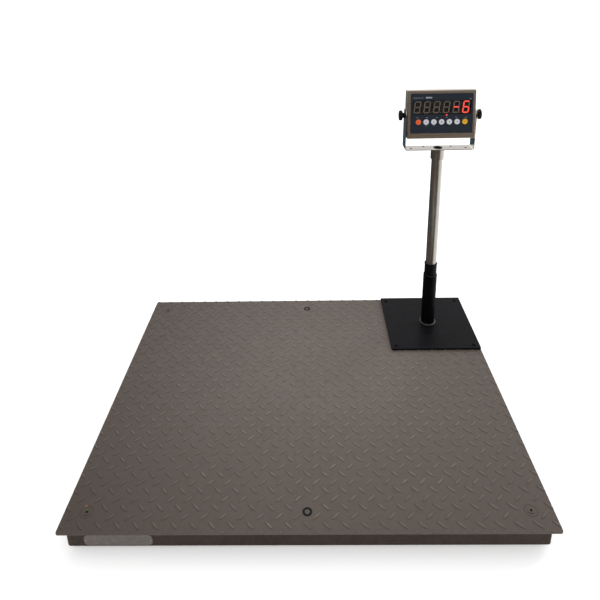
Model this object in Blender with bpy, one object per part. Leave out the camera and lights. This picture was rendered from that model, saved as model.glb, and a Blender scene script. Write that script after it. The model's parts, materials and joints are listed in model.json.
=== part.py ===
"""Platform shipping scale.

A low tread-plate weighing deck on four load cells, with a stand for the indicator on its rear right corner.
Metres, +Z up. The front faces -Y, and the origin is on the floor under the middle of the deck.
"""

import math

import bmesh
import bpy

# Shared
TOUCH_GAP = 0.0003
SMOOTH_ANGLE = math.radians(32)
CUT_MARGIN = 0.004
CUT_REACH = 0.020
CUT_THROUGH = 0.200

# Deck
DECK_WIDTH = 1.500
DECK_DEPTH = 1.200
DECK_THICKNESS = 0.005
DECK_TOP = 0.090
DECK_UNDERSIDE = DECK_TOP - DECK_THICKNESS
DECK_CORNER_RADIUS = 0.008
LOADING_AREA_X = (-0.600, 0.330)
LOADING_AREA_Y = (-0.480, 0.480)

# Skirt channels and ribs
SKIRT_INSET = 0.020
CHANNEL_HEIGHT = 0.070
CHANNEL_FLANGE = 0.022
CHANNEL_WALL = 0.003
CHANNEL_TOP = DECK_UNDERSIDE - TOUCH_GAP
CHANNEL_BOTTOM = CHANNEL_TOP - CHANNEL_HEIGHT
SKIRT_WIDTH = DECK_WIDTH - 2 * SKIRT_INSET
SKIRT_DEPTH = DECK_DEPTH - 2 * SKIRT_INSET
RIB_WIDTH = 0.040
RIB_HEIGHT = 0.060
RIB_WALL = 0.003
RIB_SPACING = 0.330
RIB_LENGTH = SKIRT_DEPTH - 2 * CHANNEL_FLANGE - 2 * TOUCH_GAP
CENTRE_RIB_LENGTH = 1.000

# Load cells, their mounts and the levelling feet
FOOT_INSET = 0.070
FOOT_X = DECK_WIDTH / 2 - FOOT_INSET
FOOT_Y = DECK_DEPTH / 2 - FOOT_INSET
CORNERS = {"fl": (-1, -1), "fr": (1, -1), "rl": (-1, 1), "rr": (1, 1)}
CELL_LENGTH = 0.130
CELL_SIDE = 0.0318
CELL_FREE_END = 0.0158
CELL_HOLES = (0.0762, 0.1016)
CELL_GAUGE_X = 0.038
MOUNT_BLOCK_HEIGHT = 0.0214
MOUNT_BLOCK_X = (0.062, 0.1142)
CELL_TOP = CHANNEL_TOP - MOUNT_BLOCK_HEIGHT - TOUCH_GAP
CELL_BOTTOM = CELL_TOP - CELL_SIDE
BOLT_RADIUS = 0.006
BOLT_HEX = 0.019
BOLT_HEAD_HEIGHT = 0.008
CLEARANCE_RADIUS = BOLT_RADIUS + TOUCH_GAP
FOOT_PAD_RADIUS = 0.028
FOOT_STUD_TOP = 0.068

# Screws and plugs in the deck
ACCESS_HEAD_RADIUS = 0.0105
ACCESS_SHANK_RADIUS = 0.0085
ACCESS_HEX = 0.009
ACCESS_PROUD = 0.0012
LIFT_INSET = 0.069
LIFT_FLANGE_RADIUS = 0.015
LIFT_SHANK_RADIUS = 0.0118
LIFT_CENTRE_RADIUS = 0.0092
LIFT_PROUD = 0.0014

# Junction box and load-cell leads
BOX_CENTRE = (0.160, 0.460)
BOX_SIZE = (0.120, 0.080, 0.036)
BOX_TOP = 0.079
BOX_WALL = 0.0025
LID_THICKNESS = 0.003
LID_OVERHANG = 0.002
SUMMING_BOARD_DROP = 0.006
SUMMING_BOARD_MARGIN = 0.004
TERMINAL_ROOM = 0.018
ENTRY_SPACING = 0.020
LEAD_RADIUS = 0.0025
LEAD_LEVELS = (0.050, 0.062)
LEAD_LANE_Y = SKIRT_DEPTH / 2 - CHANNEL_WALL - 0.0095
LEAD_RUN_X = 0.470
LEAD_BEND = 0.022
LEAD_BEND_STEPS = 3

# Data plate on the front skirt
PLATE_X = (-0.676, -0.468)
PLATE_Z = (0.020, 0.060)
PLATE_THICKNESS = 0.0008

# Stand
BASE_SIDE = 0.385
BASE_THICKNESS = 0.008
BASE_CORNER_RADIUS = 0.004
TREAD_HEIGHT = 0.0015
BASE_BOTTOM = DECK_TOP + TREAD_HEIGHT + TOUCH_GAP
BASE_TOP = BASE_BOTTOM + BASE_THICKNESS
STAND_X = DECK_WIDTH / 2 - BASE_SIDE / 2
STAND_Y = DECK_DEPTH / 2 - BASE_SIDE / 2
BASE_SCREW_INSET = 0.024
BASE_SCREW_RADIUS = 0.004
BASE_SCREW_HEAD = (0.0078, 0.0042)
BASE_SCREW_HEX = 0.005
BASE_SCREW_SOCKET_DEPTH = 0.0025
BASE_SCREW_LENGTH = BASE_TOP - DECK_UNDERSIDE - TOUCH_GAP
CABLE_HOLE_RADIUS = 0.012
SOCKET_RADIUS = 0.03015
SOCKET_BORE = 0.0265
SOCKET_TOP = DECK_TOP + 0.262
WELD_LEG = 0.007
BUSH_RADIUS = 0.0270
BUSH_BORE = 0.0238
BUSH_TOP = DECK_TOP + 0.318
BUSH_DEPTH = 0.060
BUSH_LIP = 0.0015
CLAMP_SCREW_Z = DECK_TOP + 0.290
CLAMP_SCREW_RADIUS = 0.004
CLAMP_GRIP_RADIUS = 0.010
CLAMP_GRIP_LENGTH = 0.009
CLAMP_GRIP_GAP = 0.006
CLAMP_GRIP_LOBES = 6
CLAMP_GRIP_LOBE_DEPTH = 0.0008
COLUMN_RADIUS = 0.0235
COLUMN_BORE = 0.0220
COLUMN_BOTTOM = DECK_TOP + 0.160

# Bracket and head sleeve
BRACKET_UNDERSIDE = DECK_TOP + 0.855
BRACKET_WALL = 0.0025
BRACKET_DEPTH = 0.060
BRACKET_HALF = 0.1420
BRACKET_BEND = 0.009
BRACKET_CABLE_HOLE = 0.0150
BRACKET_FIXING_HOLES = ((-0.113, -0.006), (-0.057, 0.016), (0.057, 0.016), (0.113, -0.006))
BRACKET_FIXING_RADIUS = 0.0032
SLEEVE_RADIUS = 0.0283
SLEEVE_BORE = 0.0238
SLEEVE_LENGTH = 0.046
SLEEVE_CHAMFER = 0.0022

# Indicator, laid out on its own face: x to the right, y into the case, z up, origin at the face's middle
CASE_WIDTH = 0.2736
CASE_HEIGHT = 0.196
CASE_TOP_DEPTH = 0.050
CASE_WALL = 0.0015
CASE_EDGE = 0.0025
FACE_TILT = math.radians(8)
CASE_TO_BRACKET = 0.050
PIVOT_BELOW_MIDDLE = 0.005
PIVOT_BEHIND_FACE = 0.032
PIVOT_Z = BRACKET_UNDERSIDE + CASE_TO_BRACKET + CASE_HEIGHT / 2 - PIVOT_BELOW_MIDDLE
OVERLAY_SIZE = (0.2506, 0.1608)
OVERLAY_MIDDLE_Z = 0.0047
OVERLAY_THICKNESS = 0.0008
OVERLAY_CORNER_RADIUS = 0.004
DISPLAY_HALF_WIDTH = 0.1175
DISPLAY_Z = (0.001, 0.0575)
KEY_COUNT = 7
KEY_PITCH = 0.0311
KEY_Z = -0.0297
KEY_RADIUS = 0.0109
KEY_STEM_RADIUS = 0.003
KEY_PROUD = 0.0011
KEY_THICKNESS = 0.0012
KEY_CLEARANCE = 0.0005
KEY_STEM_LENGTH = 0.0065
BOARD_FRONT = 0.016
BOARD_THICKNESS = 0.0016
BOARD_SIZE = (0.236, 0.156)
DISPLAY_BLOCK_FRONT = 0.004
SWITCH_FRONT = 0.0082
SWITCH_HALF_WIDTH = 0.005
REAR_RIM = 0.003
GASKET_INSET = 0.0003
GASKET_FRAME = 0.006
GASKET_THICKNESS = 0.0012
COVER_THICKNESS = 0.0015
GLAND_X = -0.089
GLAND_Z = -0.065
GLAND_THREAD_RADIUS = 0.0060
GLAND_HEX = 0.016
GLAND_CAP_RADIUS = 0.0078
GLAND_BORE = 0.0032
BATTERY_LOW = (-0.048, 0.0205, -0.074)
BATTERY_HIGH = (0.048, 0.0500, -0.014)
KNOB_HEAD_RADIUS = 0.0215
KNOB_HEAD_THICKNESS = 0.013
KNOB_NECK_RADIUS = 0.0115
KNOB_NECK_LENGTH = 0.011
KNOB_LOBES = 8
KNOB_LOBE_DEPTH = 0.0012
KNOB_STUD_RADIUS = 0.004
KNOB_STUD_LENGTH = 0.014

# name: (colour, roughness, metallic)
LOOKS = {
    "deck_paint": ((0.118, 0.095, 0.080), 0.55, 0.0),
    "frame_paint": ((0.055, 0.042, 0.034), 0.60, 0.0),
    "black_paint": ((0.016, 0.016, 0.019), 0.42, 0.0),
    "stainless": ((0.62, 0.60, 0.56), 0.32, 1.0),
    "zinc_steel": ((0.50, 0.50, 0.49), 0.40, 1.0),
    "nickel_steel": ((0.60, 0.58, 0.54), 0.30, 1.0),
    "black_rubber": ((0.015, 0.015, 0.015), 0.80, 0.0),
    "label_film": ((0.42, 0.42, 0.41), 0.50, 0.0),
    "grey_plastic": ((0.20, 0.21, 0.22), 0.50, 0.0),
    "black_plastic": ((0.012, 0.012, 0.013), 0.45, 0.0),
    "circuit_board": ((0.02, 0.16, 0.06), 0.50, 0.0),
    "overlay_print": ((0.020, 0.035, 0.055), 0.35, 0.0),
    "key_white": ((0.62, 0.62, 0.66), 0.40, 0.0),
    "key_orange": ((0.75, 0.14, 0.03), 0.40, 0.0),
    "key_yellow": ((0.72, 0.39, 0.01), 0.40, 0.0),
}
KEY_LOOKS = ("key_orange",) + ("key_white",) * 5 + ("key_yellow",)


# ---------------------------------------------------------------- scene helpers


def clear_scene():
    for obj in list(bpy.data.objects):
        bpy.data.objects.remove(obj, do_unlink=True)


def material_for(look):
    known = bpy.data.materials.get(look)
    if known:
        return known
    colour, roughness, metallic = LOOKS[look]
    made = bpy.data.materials.new(look)
    made.use_nodes = True
    shader = made.node_tree.nodes["Principled BSDF"]
    shader.inputs["Base Color"].default_value = (*colour, 1.0)
    shader.inputs["Roughness"].default_value = roughness
    shader.inputs["Metallic"].default_value = metallic
    made.diffuse_color = (*colour, 1.0)
    return made


def place(name, data, look=None, at=(0, 0, 0), turn=(0, 0, 0), parent=None):
    """An object of this mesh or curve, at this place under its parent."""
    obj = bpy.data.objects.new(name, data)
    bpy.context.scene.collection.objects.link(obj)
    obj.location = at
    obj.rotation_euler = turn
    obj.parent = parent
    if look:
        obj.data.materials.clear()
        obj.data.materials.append(material_for(look))
    return obj


def empty(name, at, turn=(0, 0, 0), parent=None):
    return place(name, None, at=at, turn=turn, parent=parent)


def boolean(target, tool, operation):
    tool.hide_render = True
    tool.display_type = "WIRE"
    modifier = target.modifiers.new(f"{operation.title()} {tool.name}", "BOOLEAN")
    modifier.operation = operation
    modifier.solver = "EXACT"
    modifier.object = tool


def cut(target, tool):
    boolean(target, tool, "DIFFERENCE")


def join(target, tool):
    boolean(target, tool, "UNION")


def bevel(target, width, segments=2):
    modifier = target.modifiers.new("Bevel", "BEVEL")
    modifier.width = width
    modifier.segments = segments
    modifier.limit_method = "ANGLE"


# ---------------------------------------------------------------- mesh helpers


def to_mesh(name, work, smooth=False):
    bmesh.ops.recalc_face_normals(work, faces=work.faces)
    mesh = bpy.data.meshes.new(name)
    work.to_mesh(mesh)
    work.free()
    if smooth:
        mesh.shade_smooth()
        mesh.set_sharp_from_angle(angle=SMOOTH_ANGLE)
    return mesh


def bridge(work, first, second):
    count = len(first)
    for i in range(count):
        j = (i + 1) % count
        work.faces.new((first[i], first[j], second[j], second[i]))


def prism(name, outline, low, high, axis="z", smooth=False):
    """An outline of (a, b) points, extruded along the axis from low to high."""
    order = {
        "x": lambda a, b, t: (t, a, b),
        "y": lambda a, b, t: (a, t, b),
        "z": lambda a, b, t: (a, b, t),
    }
    work = bmesh.new()
    ends = [[work.verts.new(order[axis](a, b, t)) for a, b in outline] for t in (low, high)]
    for end in ends:
        work.faces.new(end)
    bridge(work, *ends)
    return to_mesh(name, work, smooth)


def box(name, low, high):
    outline = rectangle(low[:2], high[:2])
    return prism(name, outline, low[2], high[2])


def rectangle(low, high):
    return [(low[0], low[1]), (high[0], low[1]), (high[0], high[1]), (low[0], high[1])]


def rounded_rectangle(width, depth, radius, steps=4):
    """A rectangle about the origin, with arcs for corners."""
    points = []
    for quarter, (side_x, side_y) in enumerate(((1, 1), (-1, 1), (-1, -1), (1, -1))):
        centre_x = side_x * (width / 2 - radius)
        centre_y = side_y * (depth / 2 - radius)
        for step in range(steps + 1):
            angle = (quarter + step / steps) * math.pi / 2
            points.append((centre_x + radius * math.cos(angle), centre_y + radius * math.sin(angle)))
    return points


def channel_outline(width, height, wall):
    """A C section, its web at zero and its flanges reaching along the first axis."""
    return [
        (0, 0), (width, 0), (width, wall), (wall, wall),
        (wall, height - wall), (width, height - wall), (width, height), (0, height),
    ]


def hexagon(across_flats):
    """The radius of a hexagon at an angle."""

    def radius(angle):
        return across_flats / 2 / math.cos((angle + math.pi / 6) % (math.pi / 3) - math.pi / 6)

    return radius


def lobed(radius, depth, lobes):
    """The radius of a scalloped grip at an angle."""
    return lambda angle: radius - depth * (0.5 - 0.5 * math.cos(lobes * angle))


def ring_points(radius, segments, centre=(0.0, 0.0)):
    """Points around a centre. The radius may be a function of the angle."""
    points = []
    for i in range(segments):
        angle = 2 * math.pi * i / segments
        reach = radius(angle) if callable(radius) else radius
        points.append((centre[0] + reach * math.cos(angle), centre[1] + reach * math.sin(angle)))
    return points


def turned(name, profile, segments=12, hollow=False, smooth=True):
    """Rings of (radius, height) about +Z, with both ends capped, or joined to each other if hollow."""
    work = bmesh.new()
    rings = []
    for radius, height in profile:
        rings.append([work.verts.new((x, y, height)) for x, y in ring_points(radius, segments)])
    for first, second in zip(rings, rings[1:]):
        bridge(work, first, second)
    if hollow:
        bridge(work, rings[-1], rings[0])
    else:
        work.faces.new(rings[0])
        work.faces.new(rings[-1])
    return to_mesh(name, work, smooth)


def tube(name, outer, bore, low, high, segments=24):
    profile = [(outer, low), (outer, high), (bore, high), (bore, low)]
    return turned(name, profile, segments, hollow=True)


def hole_tool(name, centres, radius, low, high, segments=16, **where):
    """One cutter holding a cylinder along Z at each centre."""
    work = bmesh.new()
    for centre in centres:
        outline = ring_points(radius, segments, centre)
        ends = [[work.verts.new((x, y, height)) for x, y in outline] for height in (low, high)]
        for end in ends:
            work.faces.new(end)
        bridge(work, *ends)
    return place(name, to_mesh(name, work), **where)


def score(mesh, axis, places):
    """Puts edges across the mesh at these places on the axis, so that its flat faces end there."""
    work = bmesh.new()
    work.from_mesh(mesh)
    for at in places:
        whole = [*work.verts, *work.edges, *work.faces]
        bmesh.ops.bisect_plane(work, geom=whole, plane_co=[at * a for a in axis], plane_no=axis)
    work.to_mesh(mesh)
    work.free()


def rounded_route(corners, bend, steps):
    """The corners as a route, each one rounded off by a curve that starts this far before it."""
    route = [corners[0]]
    for before, corner, after in zip(corners, corners[1:], corners[2:]):
        starts = []
        for other in (before, after):
            length = math.dist(corner, other)
            share = min(bend, 0.45 * length) / length
            starts.append([c + share * (o - c) for c, o in zip(corner, other)])
        for step in range(steps + 1):
            t = step / steps
            weights = ((1 - t) ** 2, 2 * t * (1 - t), t**2)
            parts = zip(starts[0], corner, starts[1])
            route.append(tuple(sum(w * p for w, p in zip(weights, part)) for part in parts))
    route.append(corners[-1])
    return route


def lead(name, route, radius, look):
    """A round cable along the route, with flat ends."""
    curve = bpy.data.curves.new(name, "CURVE")
    curve.dimensions = "3D"
    curve.bevel_depth = radius
    curve.bevel_resolution = 2
    curve.use_fill_caps = True
    spline = curve.splines.new("POLY")
    spline.points.add(len(route) - 1)
    for point, spot in zip(spline.points, route):
        point.co = (*spot, 1.0)
    return place(name, curve, look)


# ---------------------------------------------------------------- platform


def base_screw_places():
    reach = BASE_SIDE / 2 - BASE_SCREW_INSET
    return [(STAND_X + sx * reach, STAND_Y + sy * reach) for sx, sy in CORNERS.values()]


def access_places():
    """The corners whose foot is reached through the deck. The stand covers the rear right one."""
    return {key: (sx * FOOT_X, sy * FOOT_Y) for key, (sx, sy) in CORNERS.items() if key != "rr"}


def lift_places():
    reach = DECK_DEPTH / 2 - LIFT_INSET
    return {"front": (0.0, -reach), "rear": (0.0, reach)}


def make_deck():
    outline = rounded_rectangle(DECK_WIDTH, DECK_DEPTH, DECK_CORNER_RADIUS)
    mesh = prism("deck_plate", outline, DECK_UNDERSIDE, DECK_TOP)
    score(mesh, (1, 0, 0), LOADING_AREA_X)
    score(mesh, (0, 1, 0), LOADING_AREA_Y)
    deck = place("deck_plate", mesh, "deck_paint")
    holes = (
        ("access", list(access_places().values()), ACCESS_SHANK_RADIUS + TOUCH_GAP, 12),
        ("lift", list(lift_places().values()), LIFT_SHANK_RADIUS + TOUCH_GAP, 16),
        ("screw", base_screw_places(), BASE_SCREW_RADIUS + TOUCH_GAP, 12),
        ("cable", [(STAND_X, STAND_Y)], CABLE_HOLE_RADIUS, 16),
    )
    for label, centres, radius, segments in holes:
        low = DECK_UNDERSIDE - CUT_MARGIN
        high = DECK_TOP + CUT_MARGIN
        cut(deck, hole_tool(f"tool_deck_{label}", centres, radius, low, high, segments))


def make_skirt():
    """Four mitred C channels, webs outward."""
    section = channel_outline(CHANNEL_FLANGE, CHANNEL_HEIGHT, CHANNEL_WALL)
    sides = (
        ("front_channel", SKIRT_WIDTH, SKIRT_DEPTH, 0),
        ("right_channel", SKIRT_DEPTH, SKIRT_WIDTH, 1),
        ("rear_channel", SKIRT_WIDTH, SKIRT_DEPTH, 2),
        ("left_channel", SKIRT_DEPTH, SKIRT_WIDTH, 3),
    )
    for name, length, across, quarter in sides:
        work = bmesh.new()
        ends = []
        for side in (-1, 1):
            reach = length / 2 - TOUCH_GAP / 2
            ends.append([work.verts.new((side * (reach - inward), inward, z)) for inward, z in section])
            work.faces.new(ends[-1])
        bridge(work, *ends)
        turn = quarter * math.pi / 2
        at = (across / 2 * math.sin(turn), -across / 2 * math.cos(turn), CHANNEL_BOTTOM)
        place(name, to_mesh(name, work), "frame_paint", at, (0, 0, turn))


def make_ribs():
    section = channel_outline(RIB_WIDTH, RIB_HEIGHT, RIB_WALL)
    for name, step, length in (
        ("left_rib", -1, RIB_LENGTH), ("centre_rib", 0, CENTRE_RIB_LENGTH), ("right_rib", 1, RIB_LENGTH),
    ):
        mesh = prism(name, section, -length / 2, length / 2, "y")
        at = (step * RIB_SPACING - RIB_WIDTH / 2, 0, CHANNEL_TOP - RIB_HEIGHT)
        place(name, mesh, "frame_paint", at)


def make_load_cell_sets():
    """A block with its bolts, a shear beam and a levelling foot at each corner, the beam pointing inward."""
    for key, (side_x, side_y) in CORNERS.items():
        turn = (0, 0, 0 if side_x < 0 else math.pi)
        at = (side_x * FOOT_X, side_y * FOOT_Y, 0)
        make_load_cell(key, at, turn)
        make_cell_mount(key, at, turn)
        make_foot(key, at)


def make_load_cell(key, at, turn):
    name = f"load_cell_{key}"
    low = (-CELL_FREE_END, -CELL_SIDE / 2, CELL_BOTTOM)
    high = (CELL_LENGTH - CELL_FREE_END, CELL_SIDE / 2, CELL_TOP)
    cell = place(name, box(name, low, high), "nickel_steel", at, turn)
    centres = [(x, 0.0) for x in (0.0, *CELL_HOLES)]
    low, high = CELL_BOTTOM - CUT_MARGIN, CELL_TOP + CUT_MARGIN
    cut(cell, hole_tool(f"tool_cell_{key}", centres, CLEARANCE_RADIUS, low, high, 12, at=at, turn=turn))
    for side in (-1, 1):
        pocket = turned(f"tool_gauge_{key}_{side}", [(0.010, 0.0), (0.010, 0.012)], 16)
        middle = (CELL_BOTTOM + CELL_TOP) / 2
        reach = math.cos(turn[2])
        spot = (at[0] + reach * CELL_GAUGE_X, at[1] + side * (CELL_SIDE / 2 - 0.008), middle)
        cut(cell, place(f"tool_gauge_{key}_{side}", pocket, at=spot, turn=(-side * math.pi / 2, 0, 0)))


def make_cell_mount(key, at, turn):
    name = f"cell_mount_{key}"
    low = (MOUNT_BLOCK_X[0], -CELL_SIDE / 2, CELL_TOP + TOUCH_GAP)
    high = (MOUNT_BLOCK_X[1], CELL_SIDE / 2, CHANNEL_TOP)
    mount = place(name, box(name, low, high), "zinc_steel", at, turn)
    head_top = CELL_BOTTOM - TOUCH_GAP
    profile = [
        (hexagon(BOLT_HEX), head_top - BOLT_HEAD_HEIGHT), (hexagon(BOLT_HEX), head_top),
        (BOLT_RADIUS, head_top), (BOLT_RADIUS, CELL_TOP + 0.006),
    ]
    reach = math.cos(turn[2])
    for number, x in enumerate(CELL_HOLES, 1):
        bolt = turned(f"tool_bolt_{key}_{number}", profile, 12)
        join(mount, place(f"tool_bolt_{key}_{number}", bolt, at=(at[0] + reach * x, at[1], 0)))


def make_foot(key, at):
    """A pad, its stud and the lock nut under the load cell."""
    nut_top = CELL_BOTTOM - TOUCH_GAP
    profile = [
        (FOOT_PAD_RADIUS - 0.001, 0.0), (FOOT_PAD_RADIUS, 0.001), (FOOT_PAD_RADIUS, 0.006),
        (0.020, 0.0095), (0.0095, 0.011), (BOLT_RADIUS, 0.0135), (BOLT_RADIUS, nut_top - 0.007),
        (hexagon(BOLT_HEX), nut_top - 0.007), (hexagon(BOLT_HEX), nut_top),
        (BOLT_RADIUS, nut_top), (BOLT_RADIUS, FOOT_STUD_TOP), (hexagon(0.006), FOOT_STUD_TOP),
        (hexagon(0.006), FOOT_STUD_TOP - 0.005),
    ]
    name = f"levelling_foot_{key}"
    place(name, turned(name, profile), "zinc_steel", at)


def make_deck_fittings():
    bottom = DECK_UNDERSIDE - DECK_TOP
    screw = [
        (ACCESS_SHANK_RADIUS, bottom), (ACCESS_SHANK_RADIUS, TOUCH_GAP), (ACCESS_HEAD_RADIUS, TOUCH_GAP),
        (ACCESS_HEAD_RADIUS, ACCESS_PROUD - 0.0005), (ACCESS_HEAD_RADIUS - 0.0005, ACCESS_PROUD),
        (hexagon(ACCESS_HEX), ACCESS_PROUD), (hexagon(ACCESS_HEX), -0.0025),
    ]
    for key, (x, y) in access_places().items():
        name = f"access_screw_{key}"
        place(name, turned(name, screw), "zinc_steel", (x, y, DECK_TOP))
    plug = [
        (LIFT_SHANK_RADIUS, bottom - 0.004), (LIFT_SHANK_RADIUS, TOUCH_GAP), (LIFT_FLANGE_RADIUS, TOUCH_GAP),
        (LIFT_FLANGE_RADIUS, LIFT_PROUD - 0.0006), (LIFT_FLANGE_RADIUS - 0.0010, LIFT_PROUD),
        (LIFT_CENTRE_RADIUS + 0.0006, LIFT_PROUD), (LIFT_CENTRE_RADIUS, LIFT_PROUD - 0.0006),
        (LIFT_CENTRE_RADIUS, -0.0010),
    ]
    for key, (x, y) in lift_places().items():
        name = f"lifting_plug_{key}"
        place(name, turned(name, plug, 16), "black_rubber", (x, y, DECK_TOP))
    front = -SKIRT_DEPTH / 2 - TOUCH_GAP
    low = (PLATE_X[0], front - PLATE_THICKNESS, PLATE_Z[0])
    high = (PLATE_X[1], front, PLATE_Z[1])
    place("data_plate", box("data_plate", low, high), "label_film")


def lead_entries():
    """Where each lead meets the junction box: corner, x, level."""
    x, low, high = BOX_CENTRE[0], *LEAD_LEVELS
    near, far = ENTRY_SPACING, 2 * ENTRY_SPACING
    return {"fl": (x - far, low), "rl": (x - near, high), "rr": (x + near, high), "fr": (x + far, low)}


def make_junction_box():
    half_x, half_y = BOX_SIZE[0] / 2, BOX_SIZE[1] / 2
    low = (-half_x, -half_y, BOX_TOP - BOX_SIZE[2])
    high = (half_x, half_y, BOX_TOP)
    at = (*BOX_CENTRE, 0)
    housing = place("junction_box", box("junction_box", low, high), "grey_plastic", at)
    inner_low = (low[0] + BOX_WALL, low[1] + BOX_WALL, low[2] - CUT_MARGIN)
    inner_high = (high[0] - BOX_WALL, high[1] - BOX_WALL, high[2] - BOX_WALL)
    cut(housing, place("tool_box_inside", box("tool_box_inside", inner_low, inner_high), at=at))
    centres = [(x - BOX_CENTRE[0], level) for x, level in lead_entries().values()]
    entry = hole_tool("tool_box_entries", centres, LEAD_RADIUS + 0.0006, -0.010, 0.010, 12)
    entry.location = (BOX_CENTRE[0], BOX_CENTRE[1] + half_y - BOX_WALL / 2, 0)
    entry.rotation_euler = (math.pi / 2, 0, 0)
    cut(housing, entry)
    lid_top = low[2] - TOUCH_GAP
    lid_low = (low[0] - LID_OVERHANG, low[1] - LID_OVERHANG, lid_top - LID_THICKNESS)
    lid_high = (high[0] + LID_OVERHANG, high[1] + LID_OVERHANG, lid_top)
    place("junction_box_lid", box("junction_box_lid", lid_low, lid_high), "grey_plastic", at)
    board_z = high[2] - BOX_WALL - SUMMING_BOARD_DROP
    margin = SUMMING_BOARD_MARGIN
    board_low = (inner_low[0] + margin, inner_low[1] + margin, board_z - BOARD_THICKNESS)
    board_high = (inner_high[0] - margin, inner_high[1] - TERMINAL_ROOM, board_z)
    place("summing_board", box("summing_board", board_low, board_high), "circuit_board", at)


def make_leads():
    """From each cell's inner end, through the rear channel, into the junction box."""
    cell_end = FOOT_X - (CELL_LENGTH - CELL_FREE_END) - 0.001
    cell_middle = (CELL_BOTTOM + CELL_TOP) / 2
    box_rear = BOX_CENTRE[1] + BOX_SIZE[1] / 2
    for key, (entry_x, level) in lead_entries().items():
        side_x, side_y = CORNERS[key]
        near_entry = entry_x + side_x * 0.040
        corners = [(side_x * cell_end, side_y * FOOT_Y, cell_middle)]
        if side_y < 0:
            corners.append((side_x * (LEAD_RUN_X + 0.015), side_y * FOOT_Y, level))
            corners.append((side_x * LEAD_RUN_X, side_y * (FOOT_Y - 0.030), level))
            corners.append((side_x * LEAD_RUN_X, FOOT_Y - 0.030, level))
            corners.append((side_x * (LEAD_RUN_X - 0.040), LEAD_LANE_Y, level))
        else:
            corners.append((side_x * (cell_end - 0.030), FOOT_Y, level))
            corners.append((side_x * (cell_end - 0.065), LEAD_LANE_Y, level))
        corners.append((near_entry, LEAD_LANE_Y, level))
        corners.append((entry_x, box_rear + 0.030, level))
        corners.append((entry_x, box_rear - 0.008, level))
        route = rounded_route(corners, LEAD_BEND, LEAD_BEND_STEPS)
        lead(f"cell_lead_{key}", route, LEAD_RADIUS, "black_rubber")


# ---------------------------------------------------------------- stand


def make_stand_base():
    outline = rounded_rectangle(BASE_SIDE, BASE_SIDE, BASE_CORNER_RADIUS, 3)
    mesh = prism("stand_base_plate", outline, BASE_BOTTOM, BASE_TOP)
    plate = place("stand_base_plate", mesh, "black_paint", (STAND_X, STAND_Y, 0))
    low, high = BASE_BOTTOM - CUT_MARGIN, BASE_TOP + CUT_MARGIN
    radius = BASE_SCREW_RADIUS + TOUCH_GAP
    cut(plate, hole_tool("tool_base_screws", base_screw_places(), radius, low, high, 12))
    cut(plate, hole_tool("tool_base_cable", [(STAND_X, STAND_Y)], CABLE_HOLE_RADIUS, low, high))
    head_radius, head_height = BASE_SCREW_HEAD
    profile = [
        (BASE_SCREW_RADIUS, -BASE_SCREW_LENGTH), (BASE_SCREW_RADIUS, TOUCH_GAP), (head_radius, TOUCH_GAP),
        (head_radius, 0.0012), (head_radius * 0.8, head_height * 0.8), (head_radius * 0.55, head_height),
        (hexagon(BASE_SCREW_HEX), head_height),
        (hexagon(BASE_SCREW_HEX), head_height - BASE_SCREW_SOCKET_DEPTH),
    ]
    for number, (x, y) in enumerate(base_screw_places(), 1):
        name = f"base_screw_{number}"
        place(name, turned(name, profile, 12), "black_paint", (x, y, BASE_TOP))


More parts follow.
